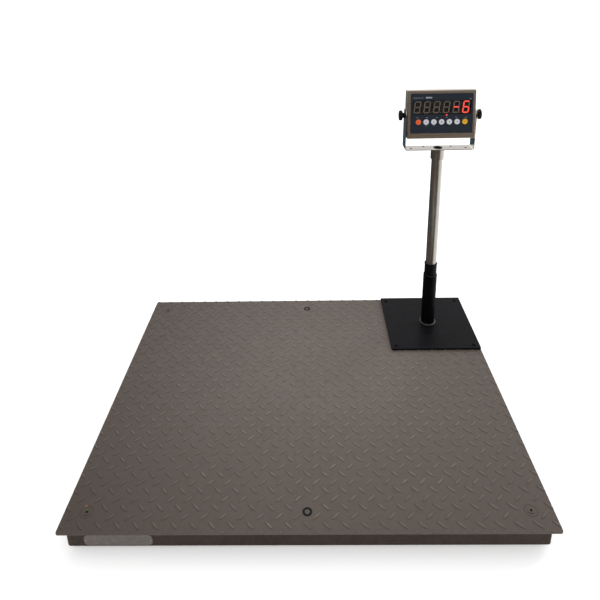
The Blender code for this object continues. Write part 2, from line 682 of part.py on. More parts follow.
def make_column():
    foot = BASE_TOP + TOUCH_GAP
    socket = [
        (SOCKET_RADIUS + WELD_LEG, foot), (SOCKET_RADIUS + WELD_LEG * 0.45, foot + WELD_LEG * 0.55),
        (SOCKET_RADIUS, foot + WELD_LEG), (SOCKET_RADIUS, SOCKET_TOP - 0.001),
        (SOCKET_RADIUS - 0.001, SOCKET_TOP), (SOCKET_BORE, SOCKET_TOP), (SOCKET_BORE, foot),
    ]
    at = (STAND_X, STAND_Y, 0)
    place("column_socket", turned("column_socket", socket, 24, hollow=True), "black_paint", at)
    inner = SOCKET_BORE - TOUCH_GAP
    bush_profile = [
        (inner, SOCKET_TOP - BUSH_DEPTH), (inner, SOCKET_TOP + TOUCH_GAP),
        (BUSH_RADIUS, SOCKET_TOP + TOUCH_GAP), (BUSH_RADIUS, BUSH_TOP - 0.006),
        (BUSH_RADIUS + BUSH_LIP, BUSH_TOP - 0.003), (BUSH_RADIUS + BUSH_LIP, BUSH_TOP - 0.001),
        (BUSH_RADIUS, BUSH_TOP),
        (BUSH_BORE, BUSH_TOP), (BUSH_BORE, SOCKET_TOP - BUSH_DEPTH),
    ]
    bush = place("column_bush", turned("column_bush", bush_profile, 24, hollow=True), "black_paint", at)
    radius = CLAMP_SCREW_RADIUS + TOUCH_GAP
    tool = hole_tool("tool_clamp_screw", [(0.0, 0.0)], radius, BUSH_BORE / 2, BUSH_RADIUS * 1.5, 12)
    tool.location = (STAND_X, STAND_Y, CLAMP_SCREW_Z)
    tool.rotation_euler = (-math.pi / 2, 0, 0)
    cut(bush, tool)
    grip = lobed(CLAMP_GRIP_RADIUS, CLAMP_GRIP_LOBE_DEPTH, CLAMP_GRIP_LOBES)
    grip_start = BUSH_RADIUS + CLAMP_GRIP_GAP
    grip_end = grip_start + CLAMP_GRIP_LENGTH
    screw = [
        (CLAMP_SCREW_RADIUS - 0.001, COLUMN_RADIUS + TOUCH_GAP),
        (CLAMP_SCREW_RADIUS, COLUMN_RADIUS + 0.0015),
        (CLAMP_SCREW_RADIUS, grip_start), (grip, grip_start), (grip, grip_end - 0.001),
        (CLAMP_GRIP_RADIUS - 0.0015, grip_end),
    ]
    mesh = turned("column_clamp_screw", screw, 24)
    at_screw = (STAND_X, STAND_Y, CLAMP_SCREW_Z)
    place("column_clamp_screw", mesh, "zinc_steel", at_screw, (-math.pi / 2, 0, 0))
    top = BRACKET_UNDERSIDE - TOUCH_GAP
    column = tube("column_tube", COLUMN_RADIUS, COLUMN_BORE, COLUMN_BOTTOM, top)
    place("column_tube", column, "stainless", at)
    low = top - SLEEVE_LENGTH
    sleeve = [
        (SLEEVE_RADIUS - SLEEVE_CHAMFER, low), (SLEEVE_RADIUS, low + SLEEVE_CHAMFER),
        (SLEEVE_RADIUS, top), (SLEEVE_BORE, top), (SLEEVE_BORE, low),
    ]
    place("head_sleeve", turned("head_sleeve", sleeve, 24, hollow=True), "stainless", at)


def bracket_outline(top):
    """The bent strip seen from the front: a U with rounded corners, from arm top to arm top."""
    outline = []
    for offset, side_order in ((0.0, (-1, 1)), (BRACKET_WALL, (1, -1))):
        half = BRACKET_HALF - offset
        radius = BRACKET_BEND - offset
        for side in side_order:
            rising = side == side_order[1]
            corner = [(half - radius + radius * math.sin(a), offset + radius - radius * math.cos(a))
                      for a in (math.pi / 2 * i / 4 for i in range(5))]
            leg = [*corner, (half, top)]
            outline += [(side * x, z) for x, z in (leg if rising else reversed(leg))]
    return outline


def make_bracket():
    arm_top = PIVOT_Z + BRACKET_DEPTH / 2 - BRACKET_UNDERSIDE
    half = BRACKET_DEPTH / 2
    mesh = prism("indicator_bracket", bracket_outline(arm_top), -half, half, "y", True)
    at = (STAND_X, STAND_Y, BRACKET_UNDERSIDE)
    bracket = place("indicator_bracket", mesh, "stainless", at)
    pivot_height = PIVOT_Z - BRACKET_UNDERSIDE
    reach = BRACKET_DEPTH / 2 + 0.0005
    arc = [(reach * math.cos(a), pivot_height + reach * math.sin(a))
           for a in (math.pi * i / 16 for i in range(17))]
    side_view = [*arc, (-reach, -CUT_MARGIN), (reach, -CUT_MARGIN)]
    arms = prism("tool_arm_outline", side_view, -CUT_THROUGH, CUT_THROUGH, "x")
    tool = place("tool_arm_outline", arms, at=at)
    boolean(bracket, tool, "INTERSECT")
    low, high = -CUT_MARGIN, BRACKET_WALL + CUT_MARGIN
    cut(bracket, hole_tool("tool_bracket_cable", [(0, 0)], BRACKET_CABLE_HOLE, low, high, 24, at=at))
    centres, radius = BRACKET_FIXING_HOLES, BRACKET_FIXING_RADIUS
    cut(bracket, hole_tool("tool_bracket_fixings", centres, radius, low, high, 12, at=at))
    radius = KNOB_STUD_RADIUS + TOUCH_GAP
    where = {"at": (STAND_X, STAND_Y, PIVOT_Z), "turn": (0, math.pi / 2, 0)}
    cut(bracket, hole_tool("tool_bracket_pivot", [(0, 0)], radius, -CUT_THROUGH, CUT_THROUGH, 16, **where))


# ---------------------------------------------------------------- indicator


def rear_y(z, offset=0.0):
    """How far behind the face the case's sloping back is, at height z."""
    return CASE_TOP_DEPTH + (CASE_HEIGHT / 2 - z) * math.tan(FACE_TILT) + offset


def back_slab(name, inset, front, thickness):
    """A flat piece across the back of the case."""
    top = CASE_HEIGHT / 2 - inset
    half = CASE_WIDTH / 2 - inset
    outline = [
        (rear_y(top, front), top), (rear_y(top, front + thickness), top),
        (rear_y(-top, front + thickness), -top), (rear_y(-top, front), -top),
    ]
    return prism(name, outline, -half, half, "x")


def make_case(on_face):
    half = CASE_HEIGHT / 2
    outline = [(0, -half), (0, half), (rear_y(half), half), (rear_y(-half), -half)]
    mesh = prism("front_case", outline, -CASE_WIDTH / 2, CASE_WIDTH / 2, "x", True)
    case = place("front_case", mesh, "stainless", **on_face)
    bevel(case, CASE_EDGE, 3)
    low = half - CASE_WALL
    inner = [
        (CASE_WALL, -low), (CASE_WALL, low),
        (rear_y(low, CUT_MARGIN), low), (rear_y(-low, CUT_MARGIN), -low),
    ]
    inner_half = CASE_WIDTH / 2 - CASE_WALL
    inside = prism("tool_case_inside", inner, -inner_half, inner_half, "x")
    cut(case, place("tool_case_inside", inside, **on_face))
    rim = back_slab("tool_case_rim", -CUT_MARGIN, -REAR_RIM, CUT_REACH)
    cut(case, place("tool_case_rim", rim, **on_face))
    window = [(-DISPLAY_HALF_WIDTH, DISPLAY_Z[0]), (DISPLAY_HALF_WIDTH, DISPLAY_Z[0]),
              (DISPLAY_HALF_WIDTH, DISPLAY_Z[1]), (-DISPLAY_HALF_WIDTH, DISPLAY_Z[1])]
    cut(case, place("tool_window", prism("tool_window", window, -CUT_MARGIN, CUT_MARGIN, "y"), **on_face))
    face_turn = {"at": (0, -PIVOT_BEHIND_FACE, PIVOT_BELOW_MIDDLE), "turn": (math.pi / 2, 0, 0),
                 "parent": on_face["parent"]}
    stems = [(x, KEY_Z) for x in key_places()]
    radius = KEY_STEM_RADIUS + KEY_CLEARANCE
    cut(case, hole_tool("tool_key_stems", stems, radius, -CUT_MARGIN, CUT_MARGIN, 8, **face_turn))
    side_turn = {"turn": (0, math.pi / 2, 0), "parent": on_face["parent"]}
    radius = KNOB_STUD_RADIUS + TOUCH_GAP
    cut(case, hole_tool("tool_case_pivot", [(0, 0)], radius, -CUT_THROUGH, CUT_THROUGH, 16, **side_turn))


def make_case_back(on_face):
    gasket_front = TOUCH_GAP - REAR_RIM
    slab = back_slab("case_gasket", GASKET_INSET, gasket_front, GASKET_THICKNESS)
    gasket = place("case_gasket", slab, "black_rubber", **on_face)
    middle = back_slab("tool_gasket", GASKET_FRAME, gasket_front - CUT_MARGIN, CUT_REACH)
    cut(gasket, place("tool_gasket", middle, **on_face))
    cover_front = gasket_front + GASKET_THICKNESS + TOUCH_GAP
    slab = back_slab("rear_cover", 0.0, cover_front, COVER_THICKNESS)
    cover = place("rear_cover", slab, "stainless", **on_face)
    y = rear_y(GLAND_Z, cover_front)
    turn = (-math.pi / 2, 0, 0)
    at = (GLAND_X, y - PIVOT_BEHIND_FACE, GLAND_Z + PIVOT_BELOW_MIDDLE)
    parent = on_face["parent"]
    radius = GLAND_THREAD_RADIUS + TOUCH_GAP
    where = {"at": at, "turn": turn, "parent": parent}
    cut(cover, hole_tool("tool_gland", [(0, 0)], radius, -CUT_REACH, CUT_REACH, 16, **where))
    seat = COVER_THICKNESS + 0.002
    gland = [
        (GLAND_THREAD_RADIUS, -0.008), (GLAND_THREAD_RADIUS, seat), (hexagon(GLAND_HEX), seat),
        (hexagon(GLAND_HEX), seat + 0.006), (GLAND_CAP_RADIUS - 0.0008, seat + 0.006),
        (GLAND_CAP_RADIUS - 0.0008, seat + 0.008), (GLAND_CAP_RADIUS, seat + 0.009),
        (GLAND_CAP_RADIUS, seat + 0.015), (0.0055, seat + 0.020),
        (GLAND_BORE, seat + 0.020), (GLAND_BORE, seat + 0.006),
    ]
    place("cable_gland", turned("cable_gland", gland), "black_plastic", at, turn, parent)


def key_places():
    return [(i - (KEY_COUNT - 1) / 2) * KEY_PITCH for i in range(KEY_COUNT)]


def make_overlay(on_face):
    outline = rounded_rectangle(*OVERLAY_SIZE, OVERLAY_CORNER_RADIUS, 3)
    outline = [(x, z + OVERLAY_MIDDLE_Z) for x, z in outline]
    front = -TOUCH_GAP - OVERLAY_THICKNESS
    overlay = place("overlay_panel", prism("overlay_panel", outline, front, -TOUCH_GAP, "y"),
                    "overlay_print", **on_face)
    centres = [(x, KEY_Z) for x in key_places()]
    at = (0, -PIVOT_BEHIND_FACE, PIVOT_BELOW_MIDDLE)
    where = {"at": at, "turn": (math.pi / 2, 0, 0), "parent": on_face["parent"]}
    radius = KEY_RADIUS + KEY_CLEARANCE
    cut(overlay, hole_tool("tool_key_holes", centres, radius, -CUT_MARGIN, CUT_MARGIN, 16, **where))


def make_keys(parent):
    front = TOUCH_GAP + OVERLAY_THICKNESS + KEY_PROUD
    profile = [
        (KEY_STEM_RADIUS, -KEY_STEM_LENGTH), (KEY_STEM_RADIUS, front - KEY_THICKNESS),
        (KEY_RADIUS, front - KEY_THICKNESS), (KEY_RADIUS, front - 0.0003), (KEY_RADIUS - 0.0006, front),
    ]
    for number, (x, look) in enumerate(zip(key_places(), KEY_LOOKS), 1):
        name = f"key_{number}"
        at = (x, -PIVOT_BEHIND_FACE, KEY_Z + PIVOT_BELOW_MIDDLE)
        place(name, turned(name, profile, 16), look, at, (math.pi / 2, 0, 0), parent)


def make_electronics(on_face):
    half_x, half_z = BOARD_SIZE[0] / 2, BOARD_SIZE[1] / 2
    low = (-half_x, BOARD_FRONT, -half_z)
    high = (half_x, BOARD_FRONT + BOARD_THICKNESS, half_z)
    board = place("main_board", box("main_board", low, high), "circuit_board", **on_face)
    overlap = BOARD_FRONT + BOARD_THICKNESS / 2
    low = (-DISPLAY_HALF_WIDTH + 0.001, DISPLAY_BLOCK_FRONT, DISPLAY_Z[0] + 0.001)
    high = (DISPLAY_HALF_WIDTH - 0.001, overlap, DISPLAY_Z[1] - 0.001)
    join(board, place("tool_display_block", box("tool_display_block", low, high), **on_face))
    reach = key_places()[-1] + SWITCH_HALF_WIDTH
    low = (-reach, SWITCH_FRONT, KEY_Z - SWITCH_HALF_WIDTH)
    switches = box("tool_switches", low, (reach, overlap, KEY_Z + SWITCH_HALF_WIDTH))
    join(board, place("tool_switches", switches, **on_face))
    place("battery", box("battery", BATTERY_LOW, BATTERY_HIGH), "grey_plastic", **on_face)


def make_knobs(parent):
    inner = BRACKET_HALF + TOUCH_GAP
    grip = lobed(KNOB_HEAD_RADIUS, KNOB_LOBE_DEPTH, KNOB_LOBES)
    grip_edge = lobed(KNOB_HEAD_RADIUS - 0.0015, KNOB_LOBE_DEPTH, KNOB_LOBES)
    head = inner + KNOB_NECK_LENGTH
    profile = [
        (KNOB_STUD_RADIUS, inner - KNOB_STUD_LENGTH), (KNOB_STUD_RADIUS, inner),
        (KNOB_NECK_RADIUS, inner), (KNOB_NECK_RADIUS - 0.0008, head - 0.003),
        (KNOB_NECK_RADIUS + 0.003, head),
        (grip_edge, head + 0.0010), (grip, head + 0.0030), (grip, head + KNOB_HEAD_THICKNESS - 0.0020),
        (grip_edge, head + KNOB_HEAD_THICKNESS),
    ]
    for name, side in (("knob_left", -1), ("knob_right", 1)):
        turn = (0, side * math.pi / 2, 0)
        place(name, turned(name, profile, 32), "black_plastic", turn=turn, parent=parent)


def make_indicator():
    tilt_axis = empty("indicator_tilt_axis", (STAND_X, STAND_Y, PIVOT_Z), (-FACE_TILT, 0, 0))
    on_face = {"at": (0, -PIVOT_BEHIND_FACE, PIVOT_BELOW_MIDDLE), "parent": tilt_axis}
    make_case(on_face)
    make_case_back(on_face)
    make_overlay(on_face)
    make_electronics(on_face)
    make_keys(tilt_axis)
    make_knobs(tilt_axis)


def main():
    clear_scene()
    make_deck()
    make_skirt()
    make_ribs()
    make_load_cell_sets()
    make_deck_fittings()
    make_junction_box()
    make_leads()
    make_stand_base()
    make_column()
    make_bracket()
    make_indicator()


main()
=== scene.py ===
"""Looks for the platform shipping scale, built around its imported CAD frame.

Metres, +Z up, the front faces -Y.
"""

import json
import math

import bmesh
import bpy
from mathutils import Matrix, Vector


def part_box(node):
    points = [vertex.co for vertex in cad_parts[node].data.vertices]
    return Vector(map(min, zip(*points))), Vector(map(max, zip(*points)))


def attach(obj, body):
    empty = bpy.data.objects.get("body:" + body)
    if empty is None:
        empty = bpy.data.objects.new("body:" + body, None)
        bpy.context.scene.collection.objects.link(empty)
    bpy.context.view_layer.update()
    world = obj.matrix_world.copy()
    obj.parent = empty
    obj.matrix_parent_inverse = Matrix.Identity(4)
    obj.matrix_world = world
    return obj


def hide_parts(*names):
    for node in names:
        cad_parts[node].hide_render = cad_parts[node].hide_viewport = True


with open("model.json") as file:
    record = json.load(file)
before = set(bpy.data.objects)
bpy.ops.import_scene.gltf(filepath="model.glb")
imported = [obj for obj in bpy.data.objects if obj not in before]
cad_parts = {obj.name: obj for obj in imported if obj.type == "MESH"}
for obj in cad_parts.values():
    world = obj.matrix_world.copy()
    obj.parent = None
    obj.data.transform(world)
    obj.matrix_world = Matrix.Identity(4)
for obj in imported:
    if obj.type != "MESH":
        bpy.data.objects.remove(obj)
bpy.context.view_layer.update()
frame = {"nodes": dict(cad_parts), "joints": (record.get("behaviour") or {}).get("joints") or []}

# ---- Places and sizes


def middle(node):
    low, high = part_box(node)
    return (low + high) / 2


def half_width(node):
    low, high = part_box(node)
    return (high.x - low.x) / 2


def at(x, y, z):
    return Matrix.Translation((x, y, z))


def over(node, height):
    """A frame at this height on the upright line through a CAD node's middle."""
    spot = middle(node)
    return at(spot.x, spot.y, height)


DECK_LOW, DECK_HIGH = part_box("deck_plate")
DECK_TOP = DECK_HIGH.z
DECK_SIZE = DECK_HIGH - DECK_LOW
BASE_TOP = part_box("stand_base_plate")[1].z
STAND = middle("stand_base_plate")
CORNERS = ("fl", "fr", "rl", "rr")
SCREW_CORNERS = CORNERS[:3]
JOINTS = {joint["name"]: joint for joint in frame["joints"]}

# Tread pattern: two sets of lugs, leaning opposite ways, in a lattice
LUG_PITCH_X = DECK_SIZE.x / 26.26
LUG_PITCH_Y = DECK_SIZE.y / 20.4
LUG_LENGTH = 0.037
LUG_WIDTH = 0.0105
LUG_HEIGHT = 0.00175
LUG_TURN = math.radians(43)
LUG_ROW_SHIFT = 0.0134
LUG_CLEAR_OF_HOLE = 0.03
LUG_EDGE_GAP = 0.0006
LUG_OVERHANG = 0.014
LUG_SIDES = 14
LUG_POINTEDNESS = 1.35
LUG_COLUMNS = 14
LUG_ROWS = 11
LUG_LEVELS = (  # share of the length, share of the width, height
    (1.0, 1.0, -0.0003), (0.97, 0.88, 0.0005), (0.86, 0.62, 0.0014), (0.6, 0.26, LUG_HEIGHT),
)

# Welds under the deck: short beads, evenly spread along each channel
STITCH_LENGTH = 0.045
STITCH_STEPS = 40
STITCH_RADIUS = 0.0024
STITCH_INSET = 0.0006

# Stand
SOCKET_RADIUS = 0.03015
SOCKET_BORE = 0.0265
BUSH_RADIUS = 0.027
BUSH_BORE = 0.0238
COLUMN_BORE = 0.022
SLEEVE_BORE = 0.0238
SLEEVE_CHAMFER = 0.0022
BRACKET_WALL = 0.0025
BRACKET_BEND = 0.009
BRACKET_CABLE_HOLE = 0.015
BRACKET_FIXING_HOLES = ((-0.113, -0.006), (-0.057, 0.016), (0.057, 0.016), (0.113, -0.006))
BRACKET_FIXING_RADIUS = 0.0032
PIVOT_HOLE_RADIUS = 0.0043

# Indicator, on its own face: x to the right, y into the case, z up, origin at the middle of the face
PIVOT_BEHIND_FACE = 0.032
PIVOT_BELOW_MIDDLE = 0.005
CASE_WIDTH = 0.2736
CASE_HEIGHT = 0.196
OVERLAY_WIDTH = 0.2506
OVERLAY_HEIGHT = 0.1608
OVERLAY_MIDDLE_Z = 0.0047
OVERLAY_FRONT = -0.0011
OVERLAY_BACK = -0.0003
WINDOW_HALF_WIDTH = 0.1175
WINDOW_Z = (0.001, 0.0575)
DIGIT_COUNT = 6
DIGIT_PITCH = 0.039
DIGIT_Z = 0.0294
DIGIT_WIDTH = 0.0267
DIGIT_HEIGHT = 0.0494
DIGIT_STROKE = 0.0049
DIGIT_SLANT = math.radians(7)
DIGIT_FACE_Y = 0.0036
KEY_COUNT = 7
KEY_PITCH = 0.0311
KEY_Z = -0.0297
KEY_RADIUS = 0.0109
KEY_FRONT = -0.0022
KEY_THICKNESS = 0.0012
KNOB_HEAD_THICKNESS = 0.013
KNOB_NECK_RADIUS = 0.0115
LAMP_Z = -0.0024
LAMP_RADIUS = 0.0032
LAMP_LIT = 3

PIVOT = Vector(JOINTS["indicator_tilt"]["pos_m"])
INTO_CASE = Vector(JOINTS["key_1_press"]["axis"]).normalized()
FACE_UP = Vector((1, 0, 0)).cross(INTO_CASE)
FACE_MIDDLE = PIVOT - INTO_CASE * PIVOT_BEHIND_FACE + FACE_UP * PIVOT_BELOW_MIDDLE
FACE = Matrix((
    (1, INTO_CASE.x, FACE_UP.x, FACE_MIDDLE.x),
    (0, INTO_CASE.y, FACE_UP.y, FACE_MIDDLE.y),
    (0, INTO_CASE.z, FACE_UP.z, FACE_MIDDLE.z),
    (0, 0, 0, 1),
))
# Turns that take +Z to the front and to the back, in the frame they are used in
OUTWARD = Matrix.Rotation(math.pi / 2, 4, "X")
BACKWARD = Matrix.Rotation(-math.pi / 2, 4, "X")

# Distance for joined vertices, and angles for flat, rounded and sharp edges
MERGE = 0.000002
FLAT = math.radians(0.6)
SHARP = math.radians(40)
SMOOTH = math.radians(38)


# ---- Materials


def srgb(*levels):
    """A colour given as red, green and blue from 0 to 255, in linear light."""
    return (*(((c / 255 + 0.055) / 1.055) ** 2.4 if c > 10 else c / 255 / 12.92 for c in levels), 1.0)


def shade(colour, share):
    """A colour taken down to a share of its brightness."""
    return (*(c * share for c in colour[:3]), 1.0)


class Look:
    """A node material around one Principled shader, in the object's own coordinates."""

    def __init__(self, name, **sockets):
        self.name = name
        self.material = bpy.data.materials.new(name)
        self.material.use_nodes = True
        self.nodes = self.material.node_tree.nodes
        self.links = self.material.node_tree.links
        self.shader = self.nodes["Principled BSDF"]
        self.place = self.nodes.new("ShaderNodeTexCoord").outputs["Object"]
        for label, value in sockets.items():
            self.shader.inputs[label.replace("_", " ")].default_value = value

    def feed(self, sockets, values):
        for label, value in values.items():
            if isinstance(value, bpy.types.NodeSocket):
                self.links.new(value, sockets[label])
            else:
                sockets[label].default_value = value

    def node(self, kind, values, **properties):
        made = self.nodes.new(kind)
        for label, value in properties.items():
            setattr(made, label, value)
        self.feed(made.inputs, values)
        return made

    def stretched(self, scale, turn=(0, 0, 0)):
        values = {"Vector": self.place, "Scale": scale, "Rotation": turn}
        return self.node("ShaderNodeMapping", values).outputs[0]

    def noise(self, scale, detail=3.0, rough=0.55, place=None):
        values = {"Vector": place or self.place, "Scale": scale, "Detail": detail, "Roughness": rough}
        return self.node("ShaderNodeTexNoise", values).outputs["Fac"]

    def cells(self, scale, feature="F1", output="Distance"):
        values = {"Vector": self.place, "Scale": scale}
        return self.node("ShaderNodeTexVoronoi", values, feature=feature).outputs[output]

    def remap(self, value, low, high, to_low=0.0, to_high=1.0):
        values = {"Value": value, "From Min": low, "From Max": high, "To Min": to_low, "To Max": to_high}
        return self.node("ShaderNodeMapRange", values).outputs[0]

    def patches(self, noise, low, high, to_low=0.0, to_high=1.0):
        """Noise of this scale, detail and roughness, cut to a range and spread over another."""
        return self.remap(self.noise(*noise), low, high, to_low, to_high)

    def maths(self, operation, first, second):
        return self.node("ShaderNodeMath", {0: first, 1: second}, operation=operation).outputs[0]

    def mix(self, share, first, second):
        made = self.node("ShaderNodeMix", {}, data_type="RGBA")
        values = {"Factor_Float": share, "A_Color": first, "B_Color": second}
        self.feed({socket.identifier: socket for socket in made.inputs}, values)
        return next(socket for socket in made.outputs if socket.identifier == "Result_Color")

    def height(self):
        return self.node("ShaderNodeSeparateXYZ", {0: self.place}).outputs["Z"]

    def distance(self, point):
        values = {0: self.place, 1: point}
        return self.node("ShaderNodeVectorMath", values, operation="DISTANCE").outputs["Value"]

    def colour(self, value):
        self.feed(self.shader.inputs, {"Base Color": value})

    def rough(self, value):
        self.feed(self.shader.inputs, {"Roughness": value})

    def rough_patches(self, noise, span):
        self.rough(self.patches(noise, 0.3, 0.7, *span))

    def bump(self, height, distance):
        made = self.node("ShaderNodeBump", {"Height": height, "Distance": distance, "Strength": 1.0})
        for link in self.shader.inputs["Normal"].links:
            self.links.new(link.from_socket, made.inputs["Normal"])
        self.links.new(made.outputs[0], self.shader.inputs["Normal"])


def paint(name, dark, light, worn, roughness, dust=0.35, gloss=0.3):
    """Sprayed paint with soft tone changes, a film of dust and orange peel."""
    look = Look(name, Specular_IOR_Level=gloss)
    tone = look.mix(look.patches((2.6, 4, 0.6), 0.32, 0.68), srgb(*dark), srgb(*light))
    grain = look.patches((95, 3, 0.6), 0.45, 0.8)
    look.colour(look.mix(look.maths("MULTIPLY", grain, dust), tone, srgb(*worn)))
    look.rough_patches((38, 4, 0.6), roughness)
    look.bump(look.noise(900, 2, 0.5), 0.00006)
    return look


def deck_paint():
    """Taupe paint on the tread plate: a paler middle that is a painted pool of light, lug tops painted pale
    as rub wear and painted highlight, painted shade and grime round the lugs' feet, scuffs along and across
    the plate, and rust at one screw."""
    look = Look("deck_paint", Specular_IOR_Level=0.22)
    broad = look.patches((1.9, 4, 0.62), 0.34, 0.66)
    # Painted light: the plate is painted paler towards a spot right of and behind the middle
    from_painted_light_centre = look.distance((0.14, 0.1, DECK_TOP))
    ragged = look.maths("ADD", from_painted_light_centre, look.remap(broad, 0.0, 1.0, -0.12, 0.12))
    height = look.height()
    # Dark ring round each lug's foot: painted shade in the crease, partly grime
    lug_foot_painted_shade_and_grime = look.remap(height, DECK_TOP + 0.0008, DECK_TOP + 0.0004, 0.0, 0.55)
    off_plate = look.remap(height, DECK_TOP + 0.00004, DECK_TOP + 0.00012)
    lug_top = look.remap(height, DECK_TOP + 0.001, DECK_TOP + LUG_HEIGHT)
    # Lug tops painted pale: partly rub wear, partly painted highlight, strongest towards the painted pool of
    # light
    rub_and_painted_highlight = look.patches((7.5, 4, 0.7), 0.36, 0.62, 0.06, 0.6)
    rub_and_painted_highlight = look.maths("MULTIPLY", rub_and_painted_highlight, look.remap(ragged, 1.1, 0.45, 0.15, 1.0))
    along = look.noise(9, 5, 0.7, look.stretched((1.0, 14.0, 1.0), (0, 0, 0.35)))
    across = look.noise(7, 5, 0.7, look.stretched((16.0, 1.0, 1.0), (0, 0, -0.22)))
    low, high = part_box("access_screw_fl")
    from_screw = look.distance((low.x + 0.002, high.y + 0.01, DECK_TOP))
    rusty = look.maths("ADD", from_screw, look.patches((260,), 0.3, 0.7, -0.003, 0.004))
    tone = srgb(69, 60, 54)
    for share, *coat in (
        (broad, 80, 71, 65),
        # Painted pool of light
        (look.remap(ragged, 0.98, 0.22, 0.0, 0.9), 102, 93, 87),
        (look.patches((46, 4, 0.7), 0.5, 0.78, 0.0, 0.3), 60, 51, 46),
        (look.maths("MULTIPLY", lug_foot_painted_shade_and_grime, off_plate), 54, 47, 42),
        (look.maths("MULTIPLY", lug_top, rub_and_painted_highlight), 124, 116, 110),
        (look.remap(along, 0.66, 0.74, 0.0, 0.32), 120, 113, 107),
        (look.remap(across, 0.67, 0.75, 0.0, 0.25), 62, 54, 49),
        (look.remap(rusty, 0.0065, 0.0028, 0.0, 0.65), 132, 94, 64),
    ):
        tone = look.mix(share, tone, srgb(*coat))
    look.colour(tone)
    look.rough_patches((24, 4, 0.65), (0.4, 0.58))
    look.bump(look.noise(620, 3, 0.6), 0.0001)
    look.bump(look.noise(55, 2, 0.5), 0.00025)
    return look


def brushed(name, stretch, tone, roughness):
    """Stainless steel with fine lines along one axis and faint handling marks."""
    look = Look(name, Metallic=1.0)
    place = look.stretched(stretch)
    lines = look.noise(1.0, 5, 0.75, place)
    colour = look.mix(look.remap(lines, 0.3, 0.7), shade(tone, 0.8), tone)
    marks = look.patches((30, 4, 0.6), 0.56, 0.72, 0.0, 0.35)
    look.colour(look.mix(marks, colour, shade(tone, 0.66)))
    look.rough(look.patches((1.0, 4, 0.7, place), 0.25, 0.75, *roughness))
    look.bump(lines, 0.00002)
    return look


def plated(name, tone, tint, roughness, scale):
    """Plated steel: small crystals of slightly different tone."""
    look = Look(name, Metallic=1.0)
    crystal = look.cells(scale, output="Color")
    look.colour(look.mix(look.remap(crystal, 0.1, 0.9), srgb(*tone), srgb(*tint)))
    look.rough_patches((scale * 0.7, 4, 0.6), roughness)
    look.bump(look.noise(scale * 3, 3, 0.6), 0.00003)
    return look


def moulded(name, dark, light, roughness, grain=(850, 0.00005), gloss=0.4):
    """Moulded plastic or rubber with a spark-eroded grain of this scale and depth."""
    look = Look(name, Specular_IOR_Level=gloss)
    look.colour(look.mix(look.patches((60, 4, 0.65), 0.3, 0.7), srgb(*dark), srgb(*light)))
    look.rough_patches((140, 3, 0.6), roughness)
    scale, depth = grain
    look.bump(look.noise(scale, 2, 0.5), depth)
    return look


def socket_paint():
    """Black paint with a thin grey line round the socket's top edge: partly rubbed-through paint, partly
    painted highlight.
    """
    look = Look("socket_paint", Specular_IOR_Level=0.05)
    tone = look.mix(look.patches((22, 4, 0.6), 0.35, 0.65), srgb(5, 5, 7), srgb(9, 9, 12))
    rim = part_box("column_socket")[1].z
    # Grey line at the top edge: painted highlight and rubbed-through paint
    at_rim = look.remap(look.height(), rim - 0.0016, rim - 0.0006)
    ragged = look.patches((70, 3, 0.6), 0.3, 0.6, 0.25, 0.9)
    look.colour(look.mix(look.maths("MULTIPLY", at_rim, ragged), tone, srgb(52, 52, 56)))
    look.rough_patches((60, 3, 0.6), (0.36, 0.55))
    look.bump(look.noise(900, 2, 0.5), 0.00006)
    return look


def circuit_board():
    look = Look("circuit_board", Specular_IOR_Level=0.5)
    track = look.cells(190, feature="DISTANCE_TO_EDGE")
    tone = look.mix(look.remap(track, 0.02, 0.05), srgb(46, 128, 72), srgb(14, 74, 38))
    look.colour(look.mix(look.patches((40,), 0.4, 0.7, 0, 0.3), tone, srgb(10, 52, 30)))
    look.rough(look.remap(track, 0.02, 0.05, 0.28, 0.5))
    look.bump(track, 0.00003)
    return look


def lit_segment():
    look = Look("display_lit", Roughness=0.4, Emission_Strength=1.25)
    glow = look.patches((420, 2, 0.5), 0.3, 0.7)
    colour = look.mix(glow, (1.0, 0.05, 0.032, 1.0), (1.0, 0.13, 0.085, 1.0))
    look.links.new(colour, look.shader.inputs["Emission Color"])
    look.colour(look.mix(glow, (0.6, 0.02, 0.02, 1.0), (0.7, 0.05, 0.04, 1.0)))
    return look


def smoked_window():
    look = Look("display_window", Roughness=0.06, Specular_IOR_Level=0.4, Alpha=0.12)
    look.colour(look.mix(look.patches((8,), 0.3, 0.7), srgb(10, 9, 9), srgb(16, 12, 11)))
    look.bump(look.noise(35, 2), 0.00002)
    return look


